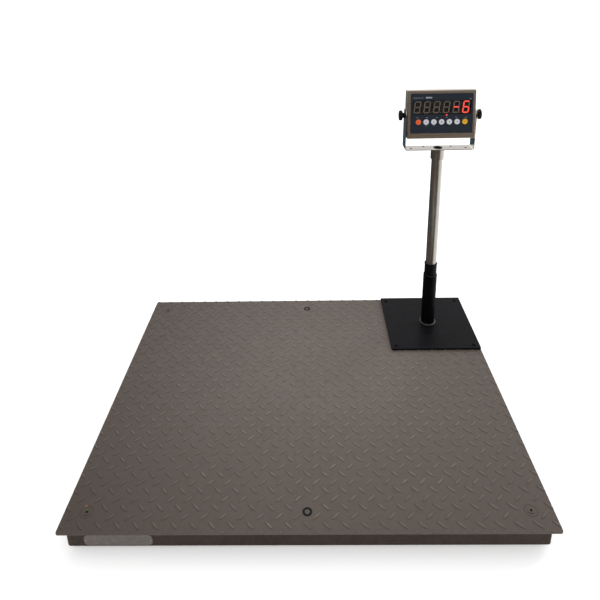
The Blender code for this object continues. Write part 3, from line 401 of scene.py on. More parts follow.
def make_looks():
    steel = (0.56, 0.525, 0.48, 1.0)
    warm_steel = (0.56, 0.49, 0.415, 1.0)
    return {look.name: look.material for look in (
        deck_paint(),
        # Frame paint darker than the deck's: painted shade on the skirt under the deck's overhang
        paint("frame_paint", (45, 34, 28), (57, 45, 38), (79, 67, 58), (0.5, 0.68), gloss=0.14),
        paint("black_paint", (9, 9, 12), (13, 13, 17), (34, 34, 38), (0.36, 0.52), 0.16, 0.07),
        socket_paint(),
        # Weld paint lighter than the black paint: partly worn paint, partly painted highlight on the bead
        paint("weld_paint", (26, 26, 28), (40, 40, 43), (92, 92, 96), (0.3, 0.45), 0.5, 0.5),
        brushed("stainless", (5, 900, 900), warm_steel, (0.24, 0.36)),
        brushed("stainless_upright", (900, 900, 4), shade(steel, 0.74), (0.22, 0.34)),
        brushed("stainless_strip", (6, 700, 700), steel, (0.18, 0.3)),
        plated("zinc_steel", (150, 148, 142), (178, 175, 166), (0.3, 0.44), 420),
        plated("plug_steel", (86, 80, 75), (122, 115, 109), (0.4, 0.6), 500),
        plated("worn_screw", (74, 66, 60), (104, 97, 90), (0.45, 0.62), 700),
        plated("nickel_steel", (196, 190, 178), (214, 208, 198), (0.2, 0.34), 160),
        moulded("black_rubber", (10, 10, 11), (18, 18, 18), (0.55, 0.75), (500, 0.00009), 0.2),
        moulded("label_film", (82, 75, 70), (102, 95, 89), (0.42, 0.6), (300, 0.00003)),
        moulded("grey_plastic", (112, 116, 118), (128, 132, 134), (0.4, 0.56)),
        moulded("black_plastic", (7, 7, 8), (12, 12, 13), (0.36, 0.52), gloss=0.14),
        circuit_board(),
        moulded("overlay_print", (26, 33, 43), (31, 39, 50), (0.38, 0.48), (1400, 0.00002), 0.22),
        moulded("overlay_marks", (120, 128, 138), (150, 157, 166), (0.4, 0.5)),
        moulded("display_block", (14, 10, 8), (22, 16, 13), (0.4, 0.52)),
        moulded("display_segment", (108, 96, 88), (124, 111, 101), (0.34, 0.46)),
        lit_segment(),
        smoked_window(),
        moulded("key_white", (184, 184, 192), (198, 198, 206), (0.34, 0.46)),
        moulded("key_orange", (200, 78, 26), (212, 90, 36), (0.34, 0.46)),
        moulded("key_yellow", (196, 148, 0), (208, 160, 4), (0.34, 0.46)),
        moulded("icon_grey", (62, 62, 76), (80, 80, 94), (0.4, 0.5)),
        moulded("icon_red", (196, 62, 34), (208, 74, 44), (0.4, 0.5)),
        moulded("cell_seal", (24, 40, 74), (34, 52, 88), (0.4, 0.52)),
    )}


LOOKS = make_looks()

# ---- Mesh helpers


def ring_points(radius, count, centre=(0.0, 0.0)):
    """Points round a centre. The radius may be a function of the angle."""
    points = []
    for i in range(count):
        angle = 2 * math.pi * i / count
        reach = radius(angle) if callable(radius) else radius
        points.append((centre[0] + reach * math.cos(angle), centre[1] + reach * math.sin(angle)))
    return points


def hexagon(across_flats):
    sixth = math.pi / 3
    return lambda angle: across_flats / 2 / math.cos((angle + sixth / 2) % sixth - sixth / 2)


def lobed(radius, depth, lobes):
    return lambda angle: radius - depth * (0.5 - 0.5 * math.cos(lobes * angle)) ** 1.5


def bridge(work, first, second):
    count = len(first)
    for i in range(count):
        j = (i + 1) % count
        work.faces.new((first[i], first[j], second[j], second[i]))


def skin(work, rings, closed=False):
    """Faces along a row of rings, capped at both ends, or joined to each other if closed."""
    for first, second in zip(rings, rings[1:]):
        bridge(work, first, second)
    if closed:
        bridge(work, rings[-1], rings[0])
    else:
        work.faces.new(rings[0])
        work.faces.new(rings[-1])


def turned(profile, count=48, hollow=False, matrix=None, into=None):
    """Rings of (radius, height) about +Z, capped at both ends, or joined to each other if hollow."""
    work = into or bmesh.new()
    rings = []
    for radius, height in profile:
        rings.append([work.verts.new((x, y, height)) for x, y in ring_points(radius, count)])
    skin(work, rings, hollow)
    if matrix:
        bmesh.ops.transform(work, matrix=matrix, verts=[v for ring in rings for v in ring])
    return work


def prism(outline, low, high, axis="y", into=None):
    """An outline of (a, b) points, extruded along the axis from low to high."""
    order = {
        "x": lambda a, b, t: (t, a, b),
        "y": lambda a, b, t: (a, t, b),
        "z": lambda a, b, t: (a, b, t),
    }
    work = into or bmesh.new()
    ends = [[work.verts.new(order[axis](a, b, t)) for a, b in outline] for t in (low, high)]
    for end in ends:
        work.faces.new(end)
    bridge(work, *ends)
    return work


def rectangle(low, high):
    return [(low[0], low[1]), (high[0], low[1]), (high[0], high[1]), (low[0], high[1])]


def arc(centre, radius, start, end, steps):
    """Points on an arc with both its ends, angles in degrees."""
    angles = [math.radians(start + (end - start) * i / steps) for i in range(steps + 1)]
    return [(centre[0] + radius * math.cos(a), centre[1] + radius * math.sin(a)) for a in angles]


def rounded_rectangle(low, high, radius, steps=6):
    points = []
    for quarter, sides in enumerate(((1, 1), (-1, 1), (-1, -1), (1, -1))):
        centre = [(a + b) / 2 + side * ((b - a) / 2 - radius) for a, b, side in zip(low, high, sides)]
        points += arc(centre, radius, quarter * 90, quarter * 90 + 90, steps)
    return points


def soften(work, width, segments=2):
    """Rounds every edge that turns by more than SHARP."""
    bmesh.ops.recalc_face_normals(work, faces=work.faces)
    edges = [e for e in work.edges if len(e.link_faces) == 2 and e.calc_face_angle() > SHARP]
    bmesh.ops.bevel(work, geom=edges, offset=width, segments=segments, profile=0.5, affect="EDGES",
                    clamp_overlap=True)
    return work


def flatten(work):
    """Makes each flat face whole again."""
    bmesh.ops.dissolve_limit(work, angle_limit=FLAT, verts=work.verts, edges=work.edges)


def copy_of(node, width=0.0, segments=2):
    """A CAD node's mesh, with its flat faces whole again and its edges rounded."""
    work = bmesh.new()
    work.from_mesh(frame["nodes"][node].data)
    bmesh.ops.remove_doubles(work, verts=work.verts, dist=MERGE)
    flatten(work)
    if width:
        soften(work, width, segments)
    return work


def to_mesh(name, work):
    bmesh.ops.recalc_face_normals(work, faces=work.faces)
    mesh = bpy.data.meshes.new(name)
    work.to_mesh(mesh)
    work.free()
    return mesh


def placed(name, data):
    obj = bpy.data.objects.new(name, data)
    bpy.context.scene.collection.objects.link(obj)
    return obj


def carve(work, *tools, operation="DIFFERENCE"):
    """The mesh less each tool mesh, or what it shares with it."""
    body = placed("carved", to_mesh("carved", work))
    cutters = []
    for tool in tools:
        cutter = placed("cutter", to_mesh("cutter", tool))
        modifier = body.modifiers.new("Carve", "BOOLEAN")
        modifier.operation = operation
        modifier.solver = "EXACT"
        modifier.object = cutter
        cutters.append(cutter)
    bpy.context.view_layer.update()
    result = body.evaluated_get(bpy.context.evaluated_depsgraph_get()).to_mesh()
    made = bmesh.new()
    made.from_mesh(result)
    for obj in (body, *cutters):
        mesh = obj.data
        bpy.data.objects.remove(obj)
        bpy.data.meshes.remove(mesh)
    return made


def piece(name, work, look, body="platform", replaces=(), matrix=None):
    """One finished piece, riding on a CAD body."""
    if matrix:
        bmesh.ops.transform(work, matrix=matrix, verts=work.verts)
    mesh = to_mesh(name, work)
    mesh.shade_smooth()
    mesh.set_sharp_from_angle(angle=SMOOTH)
    mesh.materials.append(LOOKS[look])
    obj = placed(name, mesh)
    obj.modifiers.new("Even shading", "WEIGHTED_NORMAL").keep_sharp = True
    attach(obj, body)
    if replaces:
        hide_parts(*replaces)


def refine(node, look, width=0.0, segments=2, body="platform", name=None):
    """A CAD node in its own shape, with its edges rounded, as a finished piece."""
    piece(name or f"{node}_fine", copy_of(node, width, segments), look, body, replaces=[node])


def turned_set(name, profile, seats, look, count=24, hollow=False, body="platform", matrix=None):
    """The same turned shape at several places, as one piece."""
    work = bmesh.new()
    for seat in seats:
        turned(profile, count, hollow, seat, work)
    piece(name, work, look, body, matrix=matrix)


def lathe(node, profile, look, seat, count=48, hollow=False, body="platform", name=None):
    """A turned piece in place of a CAD node."""
    piece(name or f"{node}_fine", turned(profile, count, hollow), look, body, [node], seat)


def bead(route, radius, closed=False, ripple=0.0035, sides=8, into=None):
    """A weld bead along the route, with the even ripples of a welder's weave."""
    work = into or bmesh.new()
    rings = []
    travelled = 0.0
    angles = [2 * math.pi * k / sides for k in range(sides)]
    for i, spot in enumerate(route):
        before = route[i - 1] if i or closed else spot
        after = route[(i + 1) % len(route)] if i + 1 < len(route) or closed else spot
        along = (after - before).normalized()
        side = along.cross(Vector((0, 0, 1))).normalized()
        up = side.cross(along)
        travelled += (spot - route[i - 1]).length if i else 0.0
        reach = radius * (0.82 + 0.18 * abs(math.sin(math.pi * travelled / ripple)))
        if not closed and i in (0, len(route) - 1):
            reach *= 0.35
        ring = [spot + side * reach * math.cos(a) + up * reach * math.sin(a) for a in angles]
        rings.append([work.verts.new(point) for point in ring])
    skin(work, rings, closed)
    return work


# ---- Platform


def add_lug(work, x, y, turn):
    """One lug: a pointed oval with sloping sides and a rounded crown."""
    outline = []
    for i in range(LUG_SIDES):
        angle = 2 * math.pi * i / LUG_SIDES
        across = math.copysign(abs(math.sin(angle)) ** LUG_POINTEDNESS, math.sin(angle))
        outline.append((LUG_LENGTH / 2 * math.cos(angle), LUG_WIDTH / 2 * across))
    rings = []
    for length_share, width_share, height in LUG_LEVELS:
        ring = []
        for a, b in outline:
            along, across = a * length_share, b * width_share
            spot_x = x + along * math.cos(turn) - across * math.sin(turn)
            spot_y = y + along * math.sin(turn) + across * math.cos(turn)
            ring.append(work.verts.new((spot_x, spot_y, DECK_TOP + height)))
        rings.append(ring)
    skin(work, rings)


def make_lugs():
    """The lattice of lugs, clear of the holes and cut off at the deck's edges."""
    work = bmesh.new()
    screws = [f"access_screw_{key}" for key in SCREW_CORNERS]
    holes = [middle(node) for node in (*screws, "lifting_plug_front", "lifting_plug_rear")]
    half = DECK_SIZE / 2
    for lean, shift in ((-1, 0.0), (1, 0.5)):
        for i in range(-LUG_COLUMNS, LUG_COLUMNS + 1):
            for j in range(-LUG_ROWS, LUG_ROWS + 1):
                x = (i + shift) * LUG_PITCH_X
                y = (j + shift) * LUG_PITCH_Y + LUG_ROW_SHIFT
                outside = abs(x) > half.x + LUG_OVERHANG or abs(y) > half.y + LUG_OVERHANG
                if outside or any(math.hypot(x - c.x, y - c.y) < LUG_CLEAR_OF_HOLE for c in holes):
                    continue
                add_lug(work, x, y, lean * LUG_TURN)
    for axis, reach in (((1, 0, 0), half.x), ((0, 1, 0), half.y)):
        for side in (-1, 1):
            whole = [*work.verts, *work.edges, *work.faces]
            normal = Vector(axis) * side
            edge = normal * (reach - LUG_EDGE_GAP)
            bmesh.ops.bisect_plane(work, geom=whole, plane_co=edge, plane_no=normal, clear_outer=True)
            bmesh.ops.holes_fill(work, edges=[e for e in work.edges if e.is_boundary], sides=0)
    piece("deck_lugs", work, "deck_paint")


def make_deck():
    refine("deck_plate", "deck_paint", 0.0008, name="tread_deck")
    make_lugs()
    ring = [(0.0178, -0.0003), (0.0182, 0.0004), (0.0206, 0.0004), (0.0212, -0.0003)]
    seats = [over(f"access_screw_{key}", DECK_TOP) for key in SCREW_CORNERS]
    turned_set("spot_face_rings", ring, seats, "deck_paint", 48, True)


def make_deck_fittings():
    for key in SCREW_CORNERS:
        node = f"access_screw_{key}"
        bottom, top = (corner.z - DECK_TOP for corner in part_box(node))
        head, hex_hole = half_width(node), hexagon(0.0085)
        profile = [
            (0.008, bottom), (0.0085, bottom + 0.0006), (0.0085, 0.0003), (head, 0.0003),
            (head, top - 0.0006), (head - 0.0006, top), (0.0056, top), (0.005, top - 0.0004),
            (hex_hole, top - 0.0006), (hex_hole, -0.0032),
        ]
        lathe(node, profile, "worn_screw", over(node, DECK_TOP))
    for key in ("front", "rear"):
        node = f"lifting_plug_{key}"
        bottom, top = (corner.z - DECK_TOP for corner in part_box(node))
        rim = half_width(node)
        seat = over(node, DECK_TOP)
        profile = [
            (0.0105, bottom), (0.0118, bottom + 0.0012), (0.0118, 0.0003), (rim, 0.0003),
            (rim, top - 0.0007), (rim - 0.0005, top - 0.0002), (rim - 0.0012, top), (0.0086, top),
            (0.008, top - 0.0005), (0.008, -0.001),
        ]
        lathe(node, profile, "black_rubber", seat)
        button = [(0.0078, -0.0009), (0.0078, 0.0002), (0.0071, 0.0006), (0.0034, 0.0008), (0.0029, -0.0004)]
        piece(f"{node}_button", turned(button), "plug_steel", matrix=seat)


def stitch_welds(start, end, count, into):
    """Short beads, evenly spread over the line between two points."""
    line = end - start
    step = line.normalized() * STITCH_LENGTH / STITCH_STEPS
    for k in range(count):
        first = start + line * (k + 0.5) / count - step * STITCH_STEPS / 2
        bead([first + step * t for t in range(STITCH_STEPS + 1)], STITCH_RADIUS, into=into)


def make_skirt():
    """The four channels with rounded corners on plan, the ribs, and the welds that hold the deck."""
    low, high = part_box("front_channel")
    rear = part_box("rear_channel")[1].y
    corner, past = 0.009, 0.01
    outline = rounded_rectangle((low.x, low.y), (high.x, rear), corner, 8)
    for side in ("front", "right", "rear", "left"):
        node = f"{side}_channel"
        work = carve(copy_of(node), prism(outline, low.z - past, high.z + past, "z"), operation="INTERSECT")
        flatten(work)
        piece(f"{side}_skirt", soften(work, 0.0012), "frame_paint", replaces=[node])
    for side in ("left", "centre", "right"):
        refine(f"{side}_rib", "frame_paint", 0.001)
    welds = bmesh.new()
    for y in (low.y + STITCH_INSET, rear - STITCH_INSET):
        stitch_welds(Vector((-high.x, y, high.z)), Vector((high.x, y, high.z)), 5, welds)
    for x in (low.x + STITCH_INSET, high.x - STITCH_INSET):
        stitch_welds(Vector((x, low.y, high.z)), Vector((x, rear, high.z)), 4, welds)
    piece("skirt_stitch_welds", welds, "frame_paint")


def make_data_plate():
    """A blank plate with a raised border, empty rows and a rivet at each end."""
    low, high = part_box("data_plate")
    work = prism(rounded_rectangle((low.x, low.z), (high.x, high.z), 0.013), low.y, high.y)
    soften(work, 0.00025)
    inset, first_column, half_line = 0.0085, 0.045, 0.0003
    left, right = low.x + inset, high.x - inset
    bottom, top = low.z + inset, high.z - inset
    divider = left + first_column
    lines = [((left, bottom), (right, bottom)), ((left, top), (right, top))]
    for share in (0.33, 0.66):
        z = bottom + share * (top - bottom)
        lines.append(((divider, z), (right, z)))
    for x in (left, divider, right):
        lines.append(((x, bottom), (x, top)))
    for (x0, z0), (x1, z1) in lines:
        outline = rectangle((x0 - half_line, z0 - half_line), (x1 + half_line, z1 + half_line))
        prism(outline, low.y - 0.00015, low.y + 0.0001, into=work)
    piece("data_plate_fine", work, "label_film", replaces=["data_plate"])
    rivet = [(0.0016, -0.0002), (0.0016, 0.0003), (0.0012, 0.0007), (0.0005, 0.0009)]
    inset, z = 0.0055, (low.z + high.z) / 2
    seats = [at(x, low.y, z) @ OUTWARD for x in (low.x + inset, high.x - inset)]
    turned_set("data_plate_rivets", rivet, seats, "zinc_steel", 16)


def threaded(radius, low, high, pitch, depth):
    """Profile points for a stud's thread, as fine rings."""
    count = int((high - low) / pitch)
    points = []
    for i in range(count):
        points += [(radius - depth, low + i * pitch), (radius, low + (i + 0.5) * pitch)]
    return points + [(radius - depth, low + count * pitch)]


def make_foot(key, nut_top):
    """A levelling foot: pad, boss, threaded stud and the lock nut under its load cell."""
    node = f"levelling_foot_{key}"
    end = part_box(node)[1].z
    pad = half_width(node)
    nut_low = nut_top - 0.007
    nut, hex_hole = hexagon(0.019), hexagon(0.0056)
    profile = [
        (pad - 0.0014, 0.0), (pad - 0.0004, 0.0004), (pad, 0.0014), (pad, 0.0052), (pad - 0.001, 0.0064),
        (0.021, 0.009), (0.012, 0.0104), (0.0095, 0.0112), (0.0085, 0.0128), (0.006, 0.0135),
        *threaded(0.006, 0.0138, nut_low - 0.0004, 0.0013, 0.0004),
        (0.0083, nut_low), (nut, nut_low + 0.0006), (nut, nut_top - 0.0006), (0.0083, nut_top),
        (0.0058, nut_top), (0.0058, end - 0.0006), (0.0052, end), (0.0036, end), (hex_hole, end - 0.0004),
        (hex_hole, end - 0.005),
    ]
    lathe(node, profile, "zinc_steel", over(node, 0), body=f"foot_{key}")


def make_load_cell_sets():
    seal = [(0.0098, 0.0), (0.0098, 0.0035), (0.009, 0.0042), (0.003, 0.0044)]
    for key in CORNERS:
        cell = f"load_cell_{key}"
        refine(cell, "nickel_steel", 0.001)
        refine(f"cell_mount_{key}", "zinc_steel", 0.0006)
        low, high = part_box(cell)
        spot = middle(f"levelling_foot_{key}")
        x, z = spot.x + math.copysign(0.038, -spot.x), (low.z + high.z) / 2
        out = (high.y - low.y) * 0.25
        seats = [at(x, spot.y - out, z) @ OUTWARD, at(x, spot.y + out, z) @ BACKWARD]
        turned_set(f"{cell}_seals", seal, seats, "cell_seal", 32)
        make_foot(key, low.z - 0.0003)
        refine(f"cell_lead_{key}", "black_rubber")


def make_junction_box():
    refine("junction_box", "grey_plastic", 0.001)
    refine("junction_box_lid", "grey_plastic", 0.0008)
    low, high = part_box("junction_box_lid")
    screw = [(0.0032, -0.0003), (0.0032, 0.0008), (0.0026, 0.0014), (0.001, 0.0015), (0.001, 0.0006)]
    inset = 0.007
    downward = Matrix.Rotation(math.pi, 4, "X")
    seats = [at(x, y, low.z) @ downward for x in (low.x + inset, high.x - inset)
             for y in (low.y + inset, high.y - inset)]
    turned_set("junction_box_screws", screw, seats, "zinc_steel")
    refine("summing_board", "circuit_board")
    low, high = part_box("summing_board")
    blocks = bmesh.new()
    width = (high.x - low.x) / 6
    for k in range(5):
        x = low.x + (k + 0.6) * width
        outline = rectangle((x, high.y - 0.012), (x + width * 0.8, high.y - 0.002))
        prism(outline, low.z - 0.008, low.z + 0.0003, "z", blocks)
    piece("terminal_blocks", soften(blocks, 0.0004), "cell_seal")


# ---- Stand


def make_stand_base():
    refine("stand_base_plate", "black_paint", 0.0008, 3, name="base_plate_fine")
    for number in range(1, 5):
        node = f"base_screw_{number}"
        bottom, rise = (corner.z - BASE_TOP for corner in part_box(node))
        head, hex_hole = half_width(node), hexagon(0.0048)
        profile = [
            (0.0036, bottom), (0.004, bottom + 0.0005), (0.004, 0.0003), (head, 0.0003), (head, 0.001),
            (head * 0.93, rise * 0.5), (head * 0.78, rise * 0.82), (head * 0.56, rise), (0.003, rise),
            (hex_hole, rise - 0.0003), (hex_hole, rise - 0.0026),
        ]
        lathe(node, profile, "black_paint", over(node, BASE_TOP), 32)


def make_socket():
    low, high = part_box("column_socket")
    bottom, top = low.z, high.z
    axis = at(STAND.x, STAND.y, 0)
    socket = [
        (SOCKET_RADIUS, bottom), (SOCKET_RADIUS, top - 0.0014), (SOCKET_RADIUS - 0.0005, top - 0.0004),
        (SOCKET_RADIUS - 0.0014, top), (SOCKET_BORE + 0.0006, top), (SOCKET_BORE, top - 0.0006),
        (SOCKET_BORE, bottom),
    ]
    lathe("column_socket", socket, "socket_paint", axis, 72, True, name="socket_fine")
    circle = [Vector((x, y, bottom + 0.0024)) for x, y in ring_points(SOCKET_RADIUS + 0.0024, 180)]
    weld = bead(circle, 0.0044, True, 0.0036, 10)
    piece("socket_weld", weld, "weld_paint", matrix=axis)
    low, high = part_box("column_bush")
    lip, inner = half_width("column_bush"), SOCKET_BORE - 0.0003
    seat, end = top + 0.0003, high.z
    bush = [
        (inner, low.z), (inner, seat), (BUSH_RADIUS - 0.0006, seat), (BUSH_RADIUS, top + 0.001),
        (BUSH_RADIUS, end - 0.007), (BUSH_RADIUS + 0.0003, end - 0.0058), (lip, end - 0.0034),
        (lip, end - 0.0012), (lip - 0.0008, end - 0.0003), (lip - 0.002, end), (BUSH_BORE + 0.001, end),
        (BUSH_BORE, end - 0.001), (BUSH_BORE, low.z),
    ]
    lathe("column_bush", bush, "black_paint", axis, 72, True, name="bush_fine")


def make_column():
    axis = at(STAND.x, STAND.y, 0)
    low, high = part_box("column_tube")
    outer = half_width("column_tube")
    tube = [(outer, low.z), (outer, high.z), (COLUMN_BORE, high.z), (COLUMN_BORE, low.z)]
    lathe("column_tube", tube, "stainless_upright", axis, 96, True, "column")
    low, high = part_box("head_sleeve")
    outer = half_width("head_sleeve")
    sleeve = [
        (outer - SLEEVE_CHAMFER, low.z), (outer - 0.0002, low.z + SLEEVE_CHAMFER - 0.0003),
        (outer, low.z + SLEEVE_CHAMFER + 0.0004), (outer, high.z), (SLEEVE_BORE, high.z),
        (SLEEVE_BORE, low.z),
    ]
    lathe("head_sleeve", sleeve, "stainless_upright", axis, 96, True, "column")
    hex_hole = hexagon(0.003)
    grub = [(0.003, -0.0006), (0.003, 0.0006), (0.0024, 0.001), (hex_hole, 0.001), (hex_hole, -0.0004)]
    spot = at(STAND.x, STAND.y + outer, (low.z + high.z) / 2)
    piece("head_sleeve_grub_screw", turned(grub, 24), "zinc_steel", "column", matrix=spot @ BACKWARD)


def make_clamp_screw():
    """The knurled screw behind the bush, along +Y from the stand's axis."""
    low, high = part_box("column_clamp_screw")
    start, end = low.y - STAND.y, high.y - STAND.y
    grip = half_width("column_clamp_screw")
    head = BUSH_RADIUS + 0.006
    knurl = lobed(grip, 0.0008, 24)
    profile = [
        (0.0028, start), (0.0038, start + 0.0012),
        *threaded(0.004, start + 0.0015, BUSH_RADIUS + 0.0002, 0.001, 0.0003),
        (0.004, BUSH_RADIUS + 0.001), (0.004, head - 0.002), (0.0062, head - 0.0018), (0.0066, head - 0.0002),
        (grip - 0.0012, head), (knurl, head + 0.0008), (knurl, end - 0.0016), (grip - 0.001, end - 0.0007),
        (grip - 0.0024, end - 0.0002), (0.004, end), (0.0034, end - 0.0008),
    ]
    seat = at(STAND.x, STAND.y, JOINTS["clamp_screw_turn"]["pos_m"][2]) @ BACKWARD
    lathe("column_clamp_screw", profile, "zinc_steel", seat, 144, body="clamp_screw", name="clamp_screw_fine")


def bracket_outline(half, top, wall, bend):
    """The bent strip seen from the front: a U with rounded corners, from arm top to arm top."""
    outline = []
    for offset, side_order in ((0.0, (-1, 1)), (wall, (1, -1))):
        reach, radius = half - offset, bend - offset
        leg = [*arc((reach - radius, offset + radius), radius, -90, 0, 12), (reach, top)]
        for side in side_order:
            rising = side == side_order[1]
            outline += [(side * x, z) for x, z in (leg if rising else reversed(leg))]
    return outline


def make_bracket():
    """The bent strip, with round arm ends, rounded foot corners and its holes."""
    low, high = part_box("indicator_bracket")
    reach = (high.y - low.y) / 2
    pivot_height = PIVOT.z - low.z
    outline = bracket_outline(half_width("indicator_bracket"), high.z - low.z, BRACKET_WALL, BRACKET_BEND)
    work = prism(outline, -reach, reach)
    margin, corner, past = 0.004, 0.006, 0.2
    side_view = arc((0, pivot_height), reach, 0, 180, 32)
    side_view += [(-reach, corner), (-reach, -margin), (reach, -margin), (reach, corner)]
    work = carve(work, prism(side_view, -past, past, "x"), operation="INTERSECT")
    holes = [ring_points(BRACKET_CABLE_HOLE, 48)]
    holes += [ring_points(BRACKET_FIXING_RADIUS, 24, centre) for centre in BRACKET_FIXING_HOLES]
    tools = [prism(hole, -margin, BRACKET_WALL + margin, "z") for hole in holes]
    tools.append(prism(ring_points(PIVOT_HOLE_RADIUS, 24, (0, pivot_height)), -past, past, "x"))
    work = carve(work, *tools)
    flatten(work)
    soften(work, 0.0004)
    piece("bracket_fine", work, "stainless_strip", "column", ["indicator_bracket"],
          at(STAND.x, STAND.y, low.z))


def make_bracket_fittings():
    """The rubber grommet of the cable hole and the plugs in the fixing holes."""
    grommet = [
        (0.0182, 0.0), (0.0185, 0.0006), (0.0178, 0.0014), (0.014, 0.0018), (0.0108, 0.0014),
        (0.0104, 0.0006), (0.0104, -0.0024), (0.0146, -0.0024), (0.0146, 0.0),
    ]
    seat = at(STAND.x, STAND.y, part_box("indicator_bracket")[0].z + BRACKET_WALL)
    piece("cable_grommet", turned(grommet, 48, True), "black_rubber", "column", matrix=seat)
    plug = [(0.003, -0.0022), (0.003, 0.0001), (0.0044, 0.0001), (0.0042, 0.0007), (0.0026, 0.0012)]
    seats = [seat @ at(x, y, 0) for x, y in BRACKET_FIXING_HOLES]
    turned_set("bracket_hole_plugs", plug, seats, "black_plastic", body="column")


# ---- Indicator


def face_piece(name, work, look, replaces=()):
    """A piece drawn in the face's own frame."""
    piece(name, work, look, "indicator", replaces, FACE)


def spread(count, pitch):
    """Places in a row, the same distance apart, about zero."""
    return [(i - (count - 1) / 2) * pitch for i in range(count)]


KEY_X = spread(KEY_COUNT, KEY_PITCH)
DIGIT_X = spread(DIGIT_COUNT, DIGIT_PITCH)


def make_case():
    refine("front_case", "stainless", name="case_fine", body="indicator")
    refine("rear_cover", "stainless", 0.0005, body="indicator")
    refine("case_gasket", "black_rubber", 0.0003, name="gasket_fine", body="indicator")
    refine("battery", "grey_plastic", 0.002, body="indicator")
    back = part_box("rear_cover")[1].y
    inset = 0.01
    reach_x, reach_z = CASE_WIDTH / 2 - inset, CASE_HEIGHT / 2 - inset
    spots = [FACE @ Vector((x, 0, z)) for z in (-reach_z, 0, reach_z)
             for x in (-reach_x, 0, reach_x) if x or z]
    screw = [(0.0034, -0.0004), (0.0034, 0.0009), (0.0029, 0.0018), (0.0014, 0.0022), (0.001, 0.0012)]
    seats = [at(spot.x, back, spot.z) @ BACKWARD for spot in spots]
    turned_set("rear_cover_screws", screw, seats, "zinc_steel", body="indicator")


def make_gland():
    low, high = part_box("cable_gland")
    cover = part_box("rear_cover")[1].y
    radius = half_width("cable_gland")
    length = high.y - cover
    nut = hexagon(0.0158)
    profile = [
        (0.0058, low.y - cover), (0.006, 0.0002), (radius * 0.97, 0.0004), (radius * 0.97, 0.0016),
        (nut, 0.0022), (nut, length * 0.3), (0.007, length * 0.33), (0.007, length * 0.4),
        (0.0074, length * 0.42), (0.0077, length * 0.5), (0.0077, length * 0.72), (0.0068, length * 0.9),
        (0.0054, length), (0.0036, length), (0.0032, length - 0.001), (0.0032, length * 0.4),
    ]
    spot = middle("cable_gland")
    seat = at(spot.x, cover, spot.z) @ BACKWARD
    lathe("cable_gland", profile, "black_plastic", seat, body="indicator", name="gland_fine")


def make_overlay():
    """The printed panel, cut out for the display and the keys, and the pane in front of the display."""
    half, corner, margin, key_gap = OVERLAY_WIDTH / 2, 0.004, 0.001, 0.0005
    bottom = OVERLAY_MIDDLE_Z - OVERLAY_HEIGHT / 2
    top = OVERLAY_MIDDLE_Z + OVERLAY_HEIGHT / 2
    work = prism(rounded_rectangle((-half, bottom), (half, top), corner), OVERLAY_FRONT, OVERLAY_BACK)
    window = rectangle((-WINDOW_HALF_WIDTH, WINDOW_Z[0]), (WINDOW_HALF_WIDTH, WINDOW_Z[1]))
    openings = [window, *(ring_points(KEY_RADIUS + key_gap, 48, (x, KEY_Z)) for x in KEY_X)]
    work = carve(work, *(prism(hole, OVERLAY_FRONT - margin, OVERLAY_BACK + margin) for hole in openings))
    flatten(work)
    face_piece("overlay_fine", work, "overlay_print", replaces=["overlay_panel"])
    pane = prism(window, OVERLAY_FRONT + 0.0001, OVERLAY_BACK - 0.0002)
    bmesh.ops.scale(pane, vec=(0.998, 1, 0.992), verts=pane.verts, space=at(0, 0, -sum(WINDOW_Z) / 2))
    face_piece("window_pane", pane, "display_window")


def make_marks():
    """Plain printed dashes where such panels carry legends."""
    above = WINDOW_Z[1] + 0.011
    dashes = [(x, -0.0118, 0.0075, 0.0014) for x in DIGIT_X]
    dashes += [(x, KEY_Z - 0.015, 0.01, 0.0012) for x in KEY_X[1:3]]
    dashes.append((WINDOW_HALF_WIDTH - 0.0045, above - 0.007, 0.008, 0.0016))
    dashes.append((0.023 - WINDOW_HALF_WIDTH, above - 0.001, 0.042, 0.0012))
    dashes.append((0.065 - WINDOW_HALF_WIDTH, above, 0.026, 0.0056))
    work = bmesh.new()
    for x, z, width, height in dashes:
        low, high = (x - width / 2, z - height / 2), (x + width / 2, z + height / 2)
        outline = rounded_rectangle(low, high, height * 0.45, 3)
        prism(outline, OVERLAY_FRONT - 0.00006, OVERLAY_FRONT + 0.00006, into=work)
    face_piece("overlay_marks", work, "overlay_marks")


def segment_outline(length, upright, x, z):
    """One bar of a digit, with mitred ends."""
    half, tip = DIGIT_STROKE / 2, length / 2 - 0.0004
    flat = tip - half
    bar = [(-tip, 0), (-flat, half), (flat, half), (tip, 0), (flat, -half), (-flat, -half)]
    if upright:
        bar = [(b, a) for a, b in bar]
    return [(x + a + (z + b) * math.tan(DIGIT_SLANT), z + b) for a, b in bar]


def digit_segments():
    """The seven bars by their usual letters, about the digit's middle."""
    side = (DIGIT_WIDTH - DIGIT_STROKE) / 2
    rise = (DIGIT_HEIGHT - DIGIT_STROKE) / 2
    return {
        "a": (2 * side, False, 0, rise), "g": (2 * side, False, 0, 0), "d": (2 * side, False, 0, -rise),
        "f": (rise, True, -side, rise / 2), "b": (rise, True, side, rise / 2),
        "e": (rise, True, -side, -rise / 2), "c": (rise, True, side, -rise / 2),
    }


